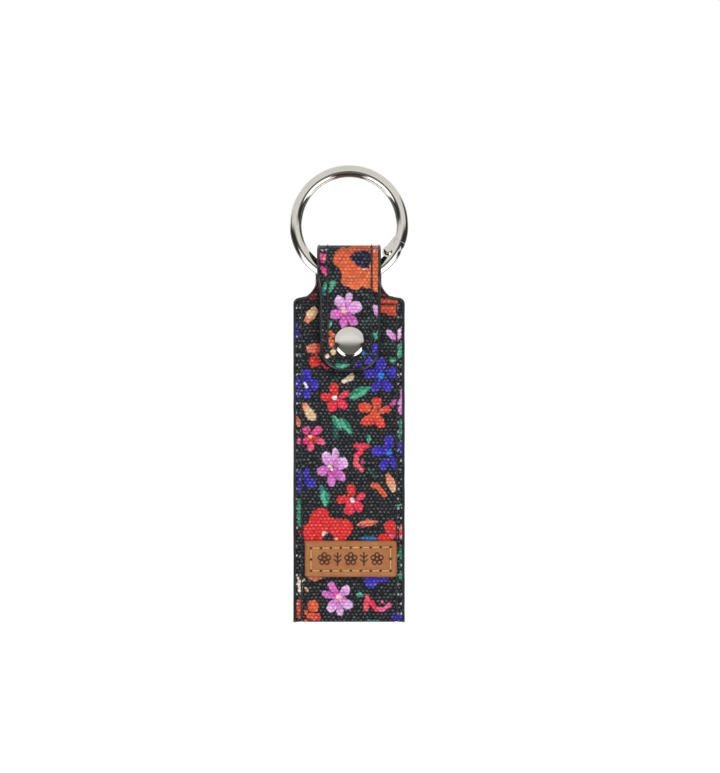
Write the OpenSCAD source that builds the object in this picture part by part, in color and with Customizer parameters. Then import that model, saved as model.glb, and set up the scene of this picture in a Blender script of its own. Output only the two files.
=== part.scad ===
// Key fob on a round spring-gate ring.
// A folded strip of printed canvas makes the fob; its strap loops over the ring and snaps shut in front.
// It hangs as in use: +Z up, front towards -Y, origin at the centre of the ring.

/* [Ring] */
// Inner diameter of the ring
ring_inner_d = 30; // [29.5:0.25:31]
// Thickness of the ring's round wire
ring_wire_d = 4; // [3.8:0.1:4]
// Angle, seen from the front, at which the gate meets the forked end of the ring
hinge_seam_angle = -18; // [-20:1:-17]
// Angle of the outer corner of the gate's slanted tip
latch_angle = 38; // [32:1:42]
// Gap between the gate and the ring at the hinge
seam_gap = 0.12; // [0.08:0.01:0.2]
// Gap between the gate's tip and the ring
latch_gap = 0.05; // [0.04:0.01:0.2]

/* [Gate hinge] */
// Distance of the hinge pin from the ring's centre
pin_orbit = 15.2; // [15:0.1:15.4]
// Angle of the hinge pin, seen from the front
pin_angle = -35; // [-36:1:-34]
// Diameter of the hinge pin
pin_d = 1.5; // [1.3:0.1:1.6]
// Diameter of the pin's domed heads
pin_head_d = 3; // [2.6:0.1:3.2]
// Diameter of the knuckle that carries the pin
knuckle_d = 3.6; // [3.4:0.1:3.8]

/* [Fob body] */
// Width of the body
body_w = 35.6; // [33:0.2:38]
// Height of the body's bottom fold below the ring's centre
body_bottom = 127.2; // [118:0.2:150]
// Height of the shoulders below the ring's centre
shoulder_drop = 23.4; // [23.4:0.1:24.5]
// Radius of the shoulder's outer corners
corner_r = 2; // [1.5:0.1:4]
// Radius of the hollow where the strap meets the shoulder
shoulder_fillet = 4.6; // [3:0.1:5.5]
// Distance of the body's front face behind the ring's centre plane
body_front = -0.2; // [-0.4:0.05:0]

/* [Strap loop] */
// Width of the strap over the ring
strap_w = 20.4; // [18:0.2:20.6]
// Height of the top of the loop below the ring's centre
loop_drop = 6.5; // [6.3:0.1:6.8]
// Inner radius of the loop
loop_r = 4.5; // [4.4:0.05:4.6]
// Distance of the flap's inner face in front of the ring's centre plane
flap_inner = 2.8; // [2.7:0.05:3]
// Height of the flap's lower end below the ring's centre
flap_bottom = 47; // [45:0.1:50]

/* [Layers] */
// Thickness of one layer of canvas
canvas_t = 0.65; // [0.5:0.05:0.7]
// Thickness of the stiffener between the layers
core_t = 0.7; // [0.6:0.05:0.8]
// Width of the painted edge
paint_w = 0.7; // [0.4:0.05:0.9]

/* [Snap] */
// Diameter of the domed cap
cap_d = 9.9; // [9:0.1:11]
// Height of the cap below the ring's centre
snap_drop = 37.6; // [37:0.1:39]
// Diameter of the socket
socket_d = 8.6; // [8:0.1:9]

/* [Leather patch] */
// Width of the patch
patch_w = 29.4; // [26:0.2:31]
// Height of the patch
patch_h = 11.6; // [9:0.2:14]
// Thickness of the patch
patch_t = 1.2; // [0.8:0.1:1.6]
// Height of the patch's centre below the ring's centre
patch_drop = 106.8; // [90:0.1:115]

/* [Hidden] */
$fn = 64;
far = 200;
eps = 0.01;
overlap = 1;

nickel = [0.80, 0.80, 0.77];
print_black = [0.11, 0.12, 0.14];
paint_grey = [0.16, 0.17, 0.18];
thread_black = [0.05, 0.05, 0.06];
leather_tan = [0.71, 0.46, 0.27];
thread_tan = [0.85, 0.70, 0.48];
core_grey = [0.55, 0.55, 0.52];
steel_grey = [0.62, 0.62, 0.60];

// Ring: the wire's centreline, the pin, and the slanted cut at the gate's tip
wire_r = ring_wire_d / 2;
ring_r = ring_inner_d / 2 + wire_r;
pin_pos = pin_orbit * [cos(pin_angle), sin(pin_angle)];
tip_corner = (ring_r + wire_r) * [cos(latch_angle), sin(latch_angle)];
tip_reach = norm(tip_corner - pin_pos);
tip_turn = atan2(tip_corner[1] - pin_pos[1], tip_corner[0] - pin_pos[0]);
// The hinge seam runs almost along a circle round the pin, so that the gate's shoulder slides past it
seam_lean = 12;
seam_point = ring_r * [cos(hinge_seam_angle), sin(hinge_seam_angle)];
seam_tilt = hinge_seam_angle - seam_lean;
// Knuckle: the ring's forked end with a slot for the gate's tongue, and where each outline meets the wire
knuckle_half = 1.8;
knuckle_from = 95;
knuckle_to = -60;
knuckle_heel = seam_point + [0.6, -3];
slot_w = 1.9;
slot_gap = 0.15;
slot_back = 2;
slot_run = 6.9;
slot_depth = 11;
slot_drop = 1.2;
slot_turn = 45;
tongue_t = 0.85;
tongue_y = -0.87;
tongue_r = knuckle_d / 2 - 0.1;
tongue_from = 110;
tongue_to = -20;
tongue_in = seam_point + [-1.6, 1.6];
tongue_out = seam_point + [0.9, 0.7];
pin_fit = 0.01;
pin_run = 0.06;
head_h = 0.6;
head_dome = 0.35;
head_gap = 0.03;
// Spring: two turns round the pin, and a leg a little thinner than the turns
spring_wire = 0.3;
spring_r = 1.1;
spring_y = 0.24;
spring_pitch = 0.28;
spring_leg_d = 0.24;
spring_leg = 2.6;
spring_lean = 40;

// Layers, counted outwards from the loop's inner face
strap_t = 2 * canvas_t + core_t;
fold_z = -(loop_drop + strap_t + loop_r);
swing_z = -15;
arc_step = 5;
// Each wall as its side, the distance of its straight inner face, the slope above it and the bend between
flap_wall = [-1, flap_inner, 30, 8];
neck_wall = [1, body_front, 45, 5];

// Stitching, inset from the edges and resting on the canvas
stitch_w = 0.5;
stitch_t = 0.22;
body_stitch = 2.6;
body_stitch_top = -shoulder_drop - 2.2;
flap_stitch_l = -6.8;
flap_stitch_r = 7.2;

// Widths that aren't symmetrical about the middle
neck_l = -10.8;
neck_r = 10.4;
flap_l = -9.3;
flap_r = 10.1;
flap_taper_z = -22;
flap_corner_r = 8;
snap_x = 0.2;
snap_bore = 1.15;
snap_shank = 1.1;
dome_r = 9.2;
dome_h = 1.25;
rim_d = 0.5;
cap_shank = 0.32;
// Socket: its lip and the inside of its floor, in front of the ring's centre plane
socket_lip = 0.9;
socket_floor = 0.3;
groove_y = 0.95;
groove_w = 0.55;
groove_r = 2.73;
mouth_r = 2.25;
socket_spring_r = 2.1;
socket_spring_y = 1.22;
socket_spring_d = 0.4;
// Stud and rivet
stud_flange_r = 4;
stud_flange_t = 0.5;
stud_neck_r = 1.7;
stud_neck_h = 1.5;
stud_head_r = 2.05;
stud_head_t = 0.7;
stud_h = 2;
rivet_r = 4.1;
rivet_t = 0.45;
rivet_step_r = 3.3;
rivet_step_t = 0.7;
rivet_shank = 1.6;
patch_x = 0.55;
patch_r = 1;
patch_stitch = 1.8;
patch_thread_t = 0.2;
groove_clear = 0.05;

// Extrudes a shape drawn in X and Z from y0 to y1
module across_y(y0, y1) translate([0, y1, 0]) rotate([90, 0, 0]) linear_extrude(y1 - y0) children();

// Extrudes a shape drawn in Y and Z from x0 to x1
module across_x(x0, x1) translate([x0, 0, 0]) rotate([90, 0, 90]) linear_extrude(x1 - x0) children();

// Turns a profile drawn as radius and height about an axis along -Y through x, z
module lathe_front(x, z) translate([x, 0, z]) rotate([90, 0, 0]) rotate_extrude() children();

module rod(x, z, r, y0, y1) translate([x, y1, z]) rotate([90, 0, 0]) cylinder(r = r, h = y1 - y0);

// One wall of the loop, from the hinge line down to where it is straight, at depth t outside its inner face
function wall_points(wall, t) =
    let (side = wall[0], face = wall[1], slope = wall[2], bend = wall[3])
    let (bend_z = swing_z - (loop_r + bend - cos(slope) * (face + bend)) / sin(slope))
    concat(
        [[side * (loop_r + t), fold_z]],
        [for (a = [0 : arc_step : slope])
            [side * (loop_r + t) * cos(a), swing_z - (loop_r + t) * sin(a)]],
        [for (a = [slope : -arc_step : 0])
            [side * (face + bend - (bend - t) * cos(a)), bend_z + (bend - t) * sin(a)]]);

function reversed(points) = [for (i = [len(points) - 1 : -1 : 0]) points[i]];

// The bottom fold, from the front to the back of the body
function bottom_arc(r) = [for (a = [180 : 15 : 360])
    [body_front + strap_t / 2 + r * cos(a), -body_bottom + strap_t / 2 + r * sin(a)]];

module body_profile() polygon(concat(
    wall_points(neck_wall, 0),
    bottom_arc(strap_t / 2),
    reversed(wall_points(neck_wall, strap_t))));

module body_canvas_profile() polygon(concat(
    wall_points(neck_wall, 0),
    bottom_arc(strap_t / 2),
    reversed(wall_points(neck_wall, strap_t)),
    wall_points(neck_wall, strap_t - canvas_t),
    reversed(bottom_arc(core_t / 2)),
    reversed(wall_points(neck_wall, canvas_t))));

module body_core_profile() polygon(concat(
    wall_points(neck_wall, canvas_t),
    bottom_arc(core_t / 2),
    reversed(wall_points(neck_wall, strap_t - canvas_t))));

module flap_profile(t0, t1) polygon(concat(
    wall_points(flap_wall, t0),
    [[-(flap_inner + t0), -far], [-(flap_inner + t1), -far]],
    reversed(wall_points(flap_wall, t1))));

module fold_profile(t0, t1) translate([0, fold_z]) intersection() {
    difference() {
        circle(r = loop_r + t1);
        circle(r = loop_r + t0);
    }
    translate([-far, 0]) square([2 * far, far]);
}

// Body and neck seen from the front, drawn in by d from the cut edge
module fob_outline(d) {
    w = body_w / 2 - d;
    r = corner_r - d;
    top = -shoulder_drop - d;
    f = shoulder_fillet + d;
    translate([-w, -body_bottom - overlap]) square([2 * w, body_bottom + overlap + top - r]);
    translate([-w + r, top - r - eps]) square([2 * (w - r), r + eps]);
    for (x = [-w + r, w - r]) translate([x, top - r]) circle(r = r);
    translate([neck_l + d, top - r]) square([neck_r - neck_l - 2 * d, swing_z - top + r]);
    translate([-strap_w / 2 + d, swing_z - overlap]) square([strap_w - 2 * d, far]);
    difference() {
        translate([neck_l + d - f, top - eps])
            square([neck_r - neck_l - 2 * d + 2 * f, f + eps]);
        translate([neck_l + d - f, top + f]) circle(r = f);
        translate([neck_r - d + f, top + f]) circle(r = f);
    }
}

// Flap seen from the front: it narrows a little below the loop and ends in two wide corners
module flap_outline(d) {
    r = flap_corner_r - d;
    bottom = -flap_bottom + d;
    polygon([[-strap_w / 2 + d, 0], [-strap_w / 2 + d, swing_z], [flap_l + d, flap_taper_z],
        [flap_l + d, bottom + r], [flap_r - d, bottom + r], [flap_r - d, flap_taper_z],
        [strap_w / 2 - d, swing_z], [strap_w / 2 - d, 0]]);
    translate([flap_l + d + r, bottom]) square([flap_r - flap_l - 2 * (d + r), r + eps]);
    for (x = [flap_l + d + r, flap_r - d - r]) translate([x, bottom + r]) circle(r = r);
}

module snap_hole(r) rod(snap_x, -snap_drop, r, -far, far);

// ---- Ring

module ring_arc(a0, a1) rotate([90, 0, 0]) rotate([0, 0, a0]) rotate_extrude(angle = a1 - a0)
    translate([ring_r, 0]) circle(r = wire_r);

// The stretch of the ring between the hinge seam and the slanted cut at the gate's tip, grown at each by a gap
module gate_zone(tip_gap, hinge_gap) difference() {
    translate([0, -far]) square([far, 2 * far]);
    translate(pin_pos) rotate(tip_turn) translate([tip_reach + tip_gap, -wire_r])
        square([2 * ring_wire_d, far]);
    below_seam(hinge_gap);
}

// Everything below the hinge seam, moved down by gap
module below_seam(gap) translate(seam_point) rotate(seam_tilt) translate([-far / 2, -far - gap])
    square([far, far]);

function round_pin(r, a) = pin_pos + r * [cos(a), sin(a)];

module knuckle_outline() {
    translate(pin_pos) circle(d = knuckle_d);
    polygon([round_pin(knuckle_d / 2, knuckle_from), seam_point, knuckle_heel,
        round_pin(knuckle_d / 2, knuckle_to)]);
}

module tongue_outline() {
    translate(pin_pos) circle(r = tongue_r);
    polygon([round_pin(tongue_r, tongue_from), tongue_in, tongue_out, round_pin(tongue_r, tongue_to)]);
}

module ring_body() color(nickel) difference() {
    union() {
        difference() {
            ring_arc(latch_angle - overlap, 360 + hinge_seam_angle + seam_lean);
            across_y(-far, far) gate_zone(latch_gap, seam_gap);
        }
        intersection() {
            across_y(-knuckle_half, knuckle_half) knuckle_outline();
            across_y(-far, far) below_seam(seam_gap);
        }
    }
    across_y(-slot_w / 2, slot_w / 2) {
        translate(pin_pos) circle(r = knuckle_d / 2 + slot_gap);
        translate(pin_pos) rotate(pin_angle + slot_turn) translate([-slot_back, -slot_drop])
            square([slot_run, slot_depth]);
    }
    rod(pin_pos[0], pin_pos[1], pin_d / 2 + pin_fit, -far, far);
    for (side = [0, 1]) mirror([0, side, 0])
        rod(pin_pos[0], pin_pos[1], pin_head_d / 2 + head_gap, knuckle_half, far);
}

module ring_gate() color(nickel) difference() {
    union() {
        intersection() {
            ring_arc(hinge_seam_angle - seam_lean, latch_angle + 2 * seam_lean);
            across_y(-far, far) gate_zone(0, 0);
        }
        across_y(tongue_y, tongue_y + tongue_t) tongue_outline();
    }
    rod(pin_pos[0], pin_pos[1], pin_d / 2 + pin_run, -far, far);
}

module gate_pin() color(nickel) {
    rod(pin_pos[0], pin_pos[1], pin_d / 2, -knuckle_half - eps, knuckle_half + eps);
    for (side = [0, 1]) mirror([0, side, 0]) lathe_front(pin_pos[0], pin_pos[1])
        translate([0, knuckle_half]) intersection() {
            translate([0, head_h - pin_head_d / 2 - head_dome]) circle(r = pin_head_d / 2 + head_dome);
            square([pin_head_d / 2, head_h]);
        }
}

// Two turns round the pin, with one leg under the gate
module gate_spring() color(steel_grey) {
    $fn = 24;
    for (turn = [0, 1]) translate([pin_pos[0], spring_y + turn * spring_pitch, pin_pos[1]]) rotate([90, 0, 0])
        rotate_extrude() translate([spring_r, 0]) circle(d = spring_wire);
    translate([pin_pos[0], spring_y, pin_pos[1]]) rotate([0, -spring_lean, 0])
        translate([0, 0, spring_r]) rotate([0, 90, 0]) cylinder(d = spring_leg_d, h = spring_leg);
}

// ---- Fob

module loop_lining() color(print_black) across_x(-strap_w / 2 + paint_w, strap_w / 2 - paint_w)
    fold_profile(0, canvas_t);

module fold_canvas() color(print_black) across_x(-strap_w / 2 + paint_w, strap_w / 2 - paint_w)
    fold_profile(strap_t - canvas_t, strap_t);

module fold_stiffener() color(core_grey) across_x(-strap_w / 2 + paint_w, strap_w / 2 - paint_w)
    fold_profile(canvas_t, strap_t - canvas_t);

module fold_edge_paint() color(paint_grey) for (x = [-strap_w / 2, strap_w / 2 - paint_w])
    across_x(x, x + paint_w) fold_profile(0, strap_t);

module fold_stitching() color(thread_black) for (x = [flap_stitch_l, flap_stitch_r])
    across_x(x - stitch_w / 2, x + stitch_w / 2) fold_profile(strap_t, strap_t + stitch_t);

module fob_canvas() color(print_black) difference() {
    intersection() {
        across_x(-far, far) body_canvas_profile();
        across_y(-far, far) fob_outline(paint_w);
    }
    snap_hole(snap_bore);
}

module fob_stiffener() color(core_grey) difference() {
    intersection() {
        across_x(-far, far) body_core_profile();
        across_y(-far, far) fob_outline(paint_w);
    }
    snap_hole(snap_bore);
}

module fob_edge_paint() color(paint_grey) intersection() {
    across_x(-far, far) body_profile();
    across_y(-far, far) difference() {
        fob_outline(0);
        fob_outline(paint_w);
    }
}

// Thread lines down both sides and across the shoulders, on the front and on the back
module fob_stitching() color(thread_black) {
    x = body_w / 2 - body_stitch;
    low = -body_bottom + strap_t / 2;
    for (y = [body_front - stitch_t, body_front + strap_t]) across_y(y, y + stitch_t) difference() {
        translate([-x - stitch_w / 2, low]) square([2 * x + stitch_w, body_stitch_top - low]);
        translate([-x + stitch_w / 2, low - overlap])
            square([2 * x - stitch_w, body_stitch_top - low + overlap - stitch_w]);
    }
}

module flap_canvas() color(print_black) difference() {
    intersection() {
        across_x(-far, far) flap_profile(strap_t - canvas_t, strap_t);
        across_y(-far, far) flap_outline(paint_w);
    }
    snap_hole(snap_bore);
}

module flap_lining() color(print_black) difference() {
    intersection() {
        across_x(-far, far) flap_profile(0, canvas_t);
        across_y(-far, far) flap_outline(paint_w);
    }
    snap_hole(snap_bore);
}

module flap_stiffener() color(core_grey) difference() {
    intersection() {
        across_x(-far, far) flap_profile(canvas_t, strap_t - canvas_t);
        across_y(-far, far) flap_outline(paint_w);
    }
    snap_hole(snap_bore);
}

module flap_edge_paint() color(paint_grey) intersection() {
    across_x(-far, far) flap_profile(0, strap_t);
    across_y(-far, far) difference() {
        flap_outline(0);
        flap_outline(paint_w);
    }
}

// Two thread lines down the flap that turn together below the cap
module flap_stitching() color(thread_black) intersection() {
    across_x(-far, far) flap_profile(strap_t, strap_t + stitch_t);
    across_y(-far, far) difference() {
        thread_outline(-stitch_w / 2);
        thread_outline(stitch_w / 2);
    }
}

module thread_outline(d) {
    l = flap_stitch_l + d;
    r = flap_stitch_r - d;
    bend = flap_corner_r - body_stitch - d;
    bottom = -flap_bottom + body_stitch + d;
    translate([l, bottom + bend]) square([r - l, -bottom - bend]);
    translate([l + bend, bottom]) square([r - l - 2 * bend, bend + eps]);
    for (x = [l + bend, r - bend]) translate([x, bottom + bend]) circle(r = bend);
}

// ---- Leather patch

module patch_outline(d) {
    w = patch_w / 2 - d;
    h = patch_h / 2 - d;
    r = patch_r;
    translate([patch_x, -patch_drop]) {
        square([2 * w - 2 * r, 2 * h], center = true);
        square([2 * w, 2 * h - 2 * r], center = true);
        for (x = [-w + r, w - r]) for (z = [-h + r, h - r]) translate([x, z]) circle(r = r);
    }
}

// The patch clears the thread lines that run under it by a groove in its back
module leather_patch() color(leather_tan) difference() {
    across_y(body_front - patch_t, body_front) patch_outline(0);
    for (x = [-1, 1]) translate([x * (body_w / 2 - body_stitch), body_front, -patch_drop])
        cube([stitch_w + 2 * groove_clear, 2 * (stitch_t + groove_clear), 2 * patch_h], center = true);
}

module patch_stitching() color(thread_tan)
    across_y(body_front - patch_t - patch_thread_t, body_front - patch_t) difference() {
        patch_outline(patch_stitch);
        patch_outline(patch_stitch + stitch_w);
    }

// ---- Snap, from the front: cap, socket with its ring spring, stud, rivet

module snap_cap() color(nickel) {
    face = flap_inner + strap_t;
    shank_end = flap_inner - cap_shank;
    lathe_front(snap_x, -snap_drop) {
        translate([0, face]) square([cap_d / 2 - rim_d / 2, rim_d]);
        translate([cap_d / 2 - rim_d / 2, face + rim_d / 2]) circle(d = rim_d);
        intersection() {
            translate([0, face + rim_d + dome_h - dome_r]) circle(r = dome_r);
            translate([0, face + rim_d - eps]) square([cap_d / 2, dome_h + eps]);
        }
        translate([0, shank_end]) square([snap_shank, face - shank_end + eps]);
    }
}

module snap_socket() color(nickel) lathe_front(snap_x, -snap_drop) difference() {
    translate([0, socket_lip]) square([socket_d / 2, flap_inner - socket_lip]);
    translate([0, socket_lip - eps]) square([mouth_r, flap_inner - socket_floor - socket_lip]);
    translate([0, groove_y]) square([groove_r, groove_w]);
    square([snap_shank + eps, far]);
}

module socket_spring() color(steel_grey) lathe_front(snap_x, -snap_drop)
    translate([socket_spring_r, socket_spring_y]) circle(d = socket_spring_d);

module snap_stud() color(nickel) {
    face = -body_front;
    lathe_front(snap_x, -snap_drop) difference() {
        union() {
            translate([0, face]) square([stud_flange_r, stud_flange_t]);
            translate([0, face]) square([stud_neck_r, stud_neck_h]);
            translate([0, face + stud_h - stud_head_t]) square([stud_head_r, stud_head_t]);
        }
        square([snap_bore, far]);
    }
}

module snap_rivet() color(nickel) {
    face = -body_front - strap_t;
    lathe_front(snap_x, -snap_drop) {
        translate([0, face - rivet_t]) square([rivet_r, rivet_t]);
        translate([0, face - rivet_step_t]) square([rivet_step_r, rivet_step_t]);
        translate([0, face - eps]) square([snap_shank, strap_t + rivet_shank]);
    }
}

ring_body();
ring_gate();
gate_pin();
gate_spring();
loop_lining();
fob_canvas();
fob_stiffener();
fob_edge_paint();
fob_stitching();
fold_canvas();
fold_stiffener();
fold_edge_paint();
fold_stitching();
flap_canvas();
flap_lining();
flap_stiffener();
flap_edge_paint();
flap_stitching();
leather_patch();
patch_stitching();
snap_cap();
snap_socket();
socket_spring();
snap_stud();
snap_rivet();
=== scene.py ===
"""Looks of a printed canvas key fob that hangs from a nickel spring-gate ring.

Lengths are in millimetres until a mesh is made. The strap is one strip of two canvas layers on a
stiffener. It is laid out along its middle line: s runs from the flap's end, over the ring and down the
back to the bottom fold, and t is the depth from the middle, outwards from the ring.
"""

import math

import bmesh
import bpy
import numpy as np
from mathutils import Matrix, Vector


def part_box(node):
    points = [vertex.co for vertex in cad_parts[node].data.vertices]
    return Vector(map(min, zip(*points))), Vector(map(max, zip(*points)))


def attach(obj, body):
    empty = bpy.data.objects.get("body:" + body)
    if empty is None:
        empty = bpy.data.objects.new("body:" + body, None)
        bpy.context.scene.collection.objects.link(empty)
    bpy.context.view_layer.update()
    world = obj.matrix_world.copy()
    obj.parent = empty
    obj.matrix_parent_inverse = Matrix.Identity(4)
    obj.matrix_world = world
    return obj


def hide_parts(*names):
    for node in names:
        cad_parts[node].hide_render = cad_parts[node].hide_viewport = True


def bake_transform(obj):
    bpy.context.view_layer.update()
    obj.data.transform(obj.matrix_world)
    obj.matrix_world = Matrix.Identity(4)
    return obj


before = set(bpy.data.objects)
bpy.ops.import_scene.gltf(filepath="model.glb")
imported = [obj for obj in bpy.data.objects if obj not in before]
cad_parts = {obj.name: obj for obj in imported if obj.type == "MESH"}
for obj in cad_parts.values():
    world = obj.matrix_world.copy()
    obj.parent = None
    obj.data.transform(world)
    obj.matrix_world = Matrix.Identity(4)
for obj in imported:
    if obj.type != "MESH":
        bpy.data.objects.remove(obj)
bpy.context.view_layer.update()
MM = 0.001


def box_mm(node):
    """The lowest and highest corner of a CAD node, in millimetres."""
    low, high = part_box(node)
    return np.array(low) / MM, np.array(high) / MM


# ---- Sizes, from the frame where it has them

_, body_high = box_mm("fob_edge_paint")
flap_low, flap_high = box_mm("flap_edge_paint")
fold_low, fold_high = box_mm("fold_canvas")
cloth_low, _ = box_mm("fob_canvas")
cap_low, cap_high = box_mm("snap_cap")
patch_low, patch_high = box_mm("leather_patch")

STRAP_T = 2.0
HALF_T = STRAP_T / 2
CANVAS_T = 0.65
LOOP_R = fold_high[1] - STRAP_T
MID_R = LOOP_R + HALF_T
FOLD_Z = fold_low[2]
SWING_Z = FOLD_Z - 2
JOIN_Z = FOLD_Z - 0.5  # where the pieces over the ring meet the straight ones
BODY_FRONT = -0.2
FLAP_INNER = 2.8
BODY_BOTTOM = cloth_low[2] + HALF_T
BODY_HALF = body_high[0]
# The loop's two walls: how steep each gets, in degrees, and the radius that bends it straight again
FLAP_SLOPE, FLAP_BEND = 30, 8
BACK_SLOPE, BACK_BEND = 45, 5
SHOULDER_Z = -23.4
CORNER_R = 2.0
FILLET_R = 4.6
STRAP_HALF = flap_high[0]
NECK_L, NECK_R = -10.8, 10.4
FLAP_L, FLAP_R = -9.3, 10.1
FLAP_TAPER_Z = -22.0
FLAP_END = flap_low[2]
FLAP_CORNER_R = 8.0
SNAP_X = (cap_low[0] + cap_high[0]) / 2
SNAP_Z = (cap_low[2] + cap_high[2]) / 2
PATCH_X = (patch_low[0] + patch_high[0]) / 2
PATCH_Z = (patch_low[2] + patch_high[2]) / 2

# Weave: the pitch of the weft rows and of the warp columns, and how far the yarns stand up
WEFT = 1.05
WARP = 0.675
YARN_RISE = 0.08
WEFT_ROUND = 0.13
WARP_ROUND = 0.05
YARN_FLAT = 0.96  # below 1, so that a yarn keeps some height at its sides
RIM = 0.72  # width of the painted edge
CLOTH_SINK = 0.2  # how far the cloth lies below the painted edge
CLOTH_INSET = 0.3  # how far the cloth stops short of the strap's edge
EDGE_SWELL = 0.1  # how far the painted edge stands out past the strap's faces
SEAM_DIP, SEAM_DIP_WIDTH = 0.13, 0.42
STITCH_PITCH = 3.05
THREAD_R, THREAD_RISE = 0.30, 0.12
COARSE = 4  # a cloth's plain back has every fourth point of its face
FRONT_COLUMNS, BACK_COLUMNS, STRAP_COLUMNS = 156, 132, 88
PETAL_FULL = 1.24  # makes a petal about as wide as its row says


# ---- The strap's middle line and its two faces


def wall(side, face, slope, bend):
    """Middle line of one wall of the loop, from the swing line down to where it hangs straight."""
    turn = np.radians(np.arange(0, slope + 1))
    arc = np.stack([side * MID_R * np.cos(turn), SWING_Z - MID_R * np.sin(turn)], 1)
    rise = (LOOP_R + bend - math.cos(turn[-1]) * (face + bend)) / math.sin(turn[-1])
    back = turn[::-1]
    y = side * (face + bend - (bend - HALF_T) * np.cos(back))
    low = np.stack([y, SWING_Z - rise + (bend - HALF_T) * np.sin(back)], 1)
    return np.concatenate([arc, low])


def strap_line():
    over = np.radians(np.arange(180, -1, -2))
    arch = np.stack([MID_R * np.cos(over), FOLD_Z + MID_R * np.sin(over)], 1)
    flap_end = [[-(FLAP_INNER + HALF_T), FLAP_END]]
    bottom = [[BODY_FRONT + HALF_T, BODY_BOTTOM]]
    front = wall(-1, FLAP_INNER, FLAP_SLOPE, FLAP_BEND)[::-1]
    back = wall(1, BODY_FRONT, BACK_SLOPE, BACK_BEND)
    return np.concatenate([flap_end, front, arch, back, bottom])


LINE = strap_line()
ALONG = np.concatenate([[0], np.cumsum(np.linalg.norm(np.diff(LINE, axis=0), axis=1))])
STRAP_LENGTH = ALONG[-1]


def middle(s):
    """Y and Z of the middle line at s, and the direction there that points away from the ring."""
    s = np.asarray(s, float)
    step = 0.12
    yz = np.stack([np.interp(s, ALONG, LINE[:, k]) for k in (0, 1)], -1)
    ends = [np.clip(s + d, 0, STRAP_LENGTH) for d in (-step, step)]
    before, after = [np.stack([np.interp(e, ALONG, LINE[:, k]) for k in (0, 1)], -1) for e in ends]
    tangent = (after - before) / np.linalg.norm(after - before, axis=-1, keepdims=True)
    return yz, np.stack([-tangent[..., 1], tangent[..., 0]], -1)


def s_where(y_side, z):
    """The s at which the middle line passes height z on the front (-1) or back (+1) side."""
    on_side = ALONG[LINE[:, 0] * y_side > 0]
    heights = LINE[LINE[:, 0] * y_side > 0, 1]
    if y_side > 0:
        on_side, heights = on_side[::-1], heights[::-1]
    return float(np.interp(z, heights, on_side))


FOLD_FROM = s_where(-1, JOIN_Z)
FOLD_TO = s_where(1, JOIN_Z)


def edges(s):
    """The strap's left and right edge, in X, at s."""
    yz, _ = middle(s)
    z = yz[..., 1]
    flap = (yz[..., 0] < 0) & (z < SWING_Z)
    body = (yz[..., 0] > 0) & (z < SWING_Z)
    left, right = np.full_like(z, -STRAP_HALF), np.full_like(z, STRAP_HALF)

    taper = np.clip((SWING_Z - z) / (SWING_Z - FLAP_TAPER_Z), 0, 1)
    up = np.clip(FLAP_CORNER_R - (z - FLAP_END), 0, FLAP_CORNER_R)
    inset = FLAP_CORNER_R - np.sqrt(FLAP_CORNER_R**2 - up**2)
    left = np.where(flap, -STRAP_HALF + (STRAP_HALF + FLAP_L) * taper + inset, left)
    right = np.where(flap, STRAP_HALF - (STRAP_HALF - FLAP_R) * taper - inset, right)

    rise = np.clip(z - SHOULDER_Z, 0, FILLET_R)
    flare = FILLET_R - np.sqrt(FILLET_R**2 - (FILLET_R - rise) ** 2)
    drop = np.clip(CORNER_R - (SHOULDER_Z - z), 0, CORNER_R)
    corner = CORNER_R - np.sqrt(CORNER_R**2 - drop**2)
    below = z < SHOULDER_Z
    left = np.where(body, np.where(below, -BODY_HALF + corner, NECK_L - flare), left)
    right = np.where(body, np.where(below, BODY_HALF - corner, NECK_R + flare), right)
    return left, right


class Rows:
    """Rows across the strap: where each crosses the YZ plane, which way its face looks, its s, and v, the
    distance along the cloth, which is Z on the straight fronts of the flap and the body."""

    def __init__(self, centre, out, s, v):
        self.centre, self.out, self.s, self.v = centre, out, s, v

    def join(self, other):
        parts = [np.concatenate(p) for p in zip(self.parts(), other.parts())]
        return Rows(*parts)

    def parts(self):
        return self.centre, self.out, self.s, self.v


def outer_rows(s):
    centre, out = middle(s)
    return Rows(centre, out, s, s + FLAP_END)


def inner_rows(s):
    centre, out = middle(s)
    return Rows(centre, -out, s, BODY_BOTTOM + STRAP_LENGTH - s)


def bottom_rows(count):
    """Round the bottom fold, from the back face to the front face."""
    turn = np.linspace(0, math.pi, count)
    out = np.stack([np.cos(turn), -np.sin(turn)], 1)
    centre = np.tile(LINE[-1], (count, 1))
    s = np.full(count, STRAP_LENGTH)
    return Rows(centre, out, s, BODY_BOTTOM - (math.pi - turn) * HALF_T)


def steps(start, end, step):
    """Values from start to end about a step apart, in a number of steps that divides by four."""
    count = 4 * max(1, round(abs(end - start) / step / 4))
    return np.linspace(start, end, count + 1)


# ---- Relief of the cloth


def slub(x, v):
    """The yarns wander a little from straight rows and columns."""
    yarn_x = x + 0.10 * np.sin(1.1 * v + 0.5 * x) + 0.06 * np.sin(0.37 * v)
    yarn_v = v + 0.07 * np.sin(0.9 * x + 0.31 * v)
    return yarn_x, yarn_v


def yarn_top(share):
    """The round top of a yarn, 0 on its crown, at -1 to 1 across it."""
    return np.sqrt(np.maximum(0, 1 - YARN_FLAT * share**2)) - 1


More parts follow.
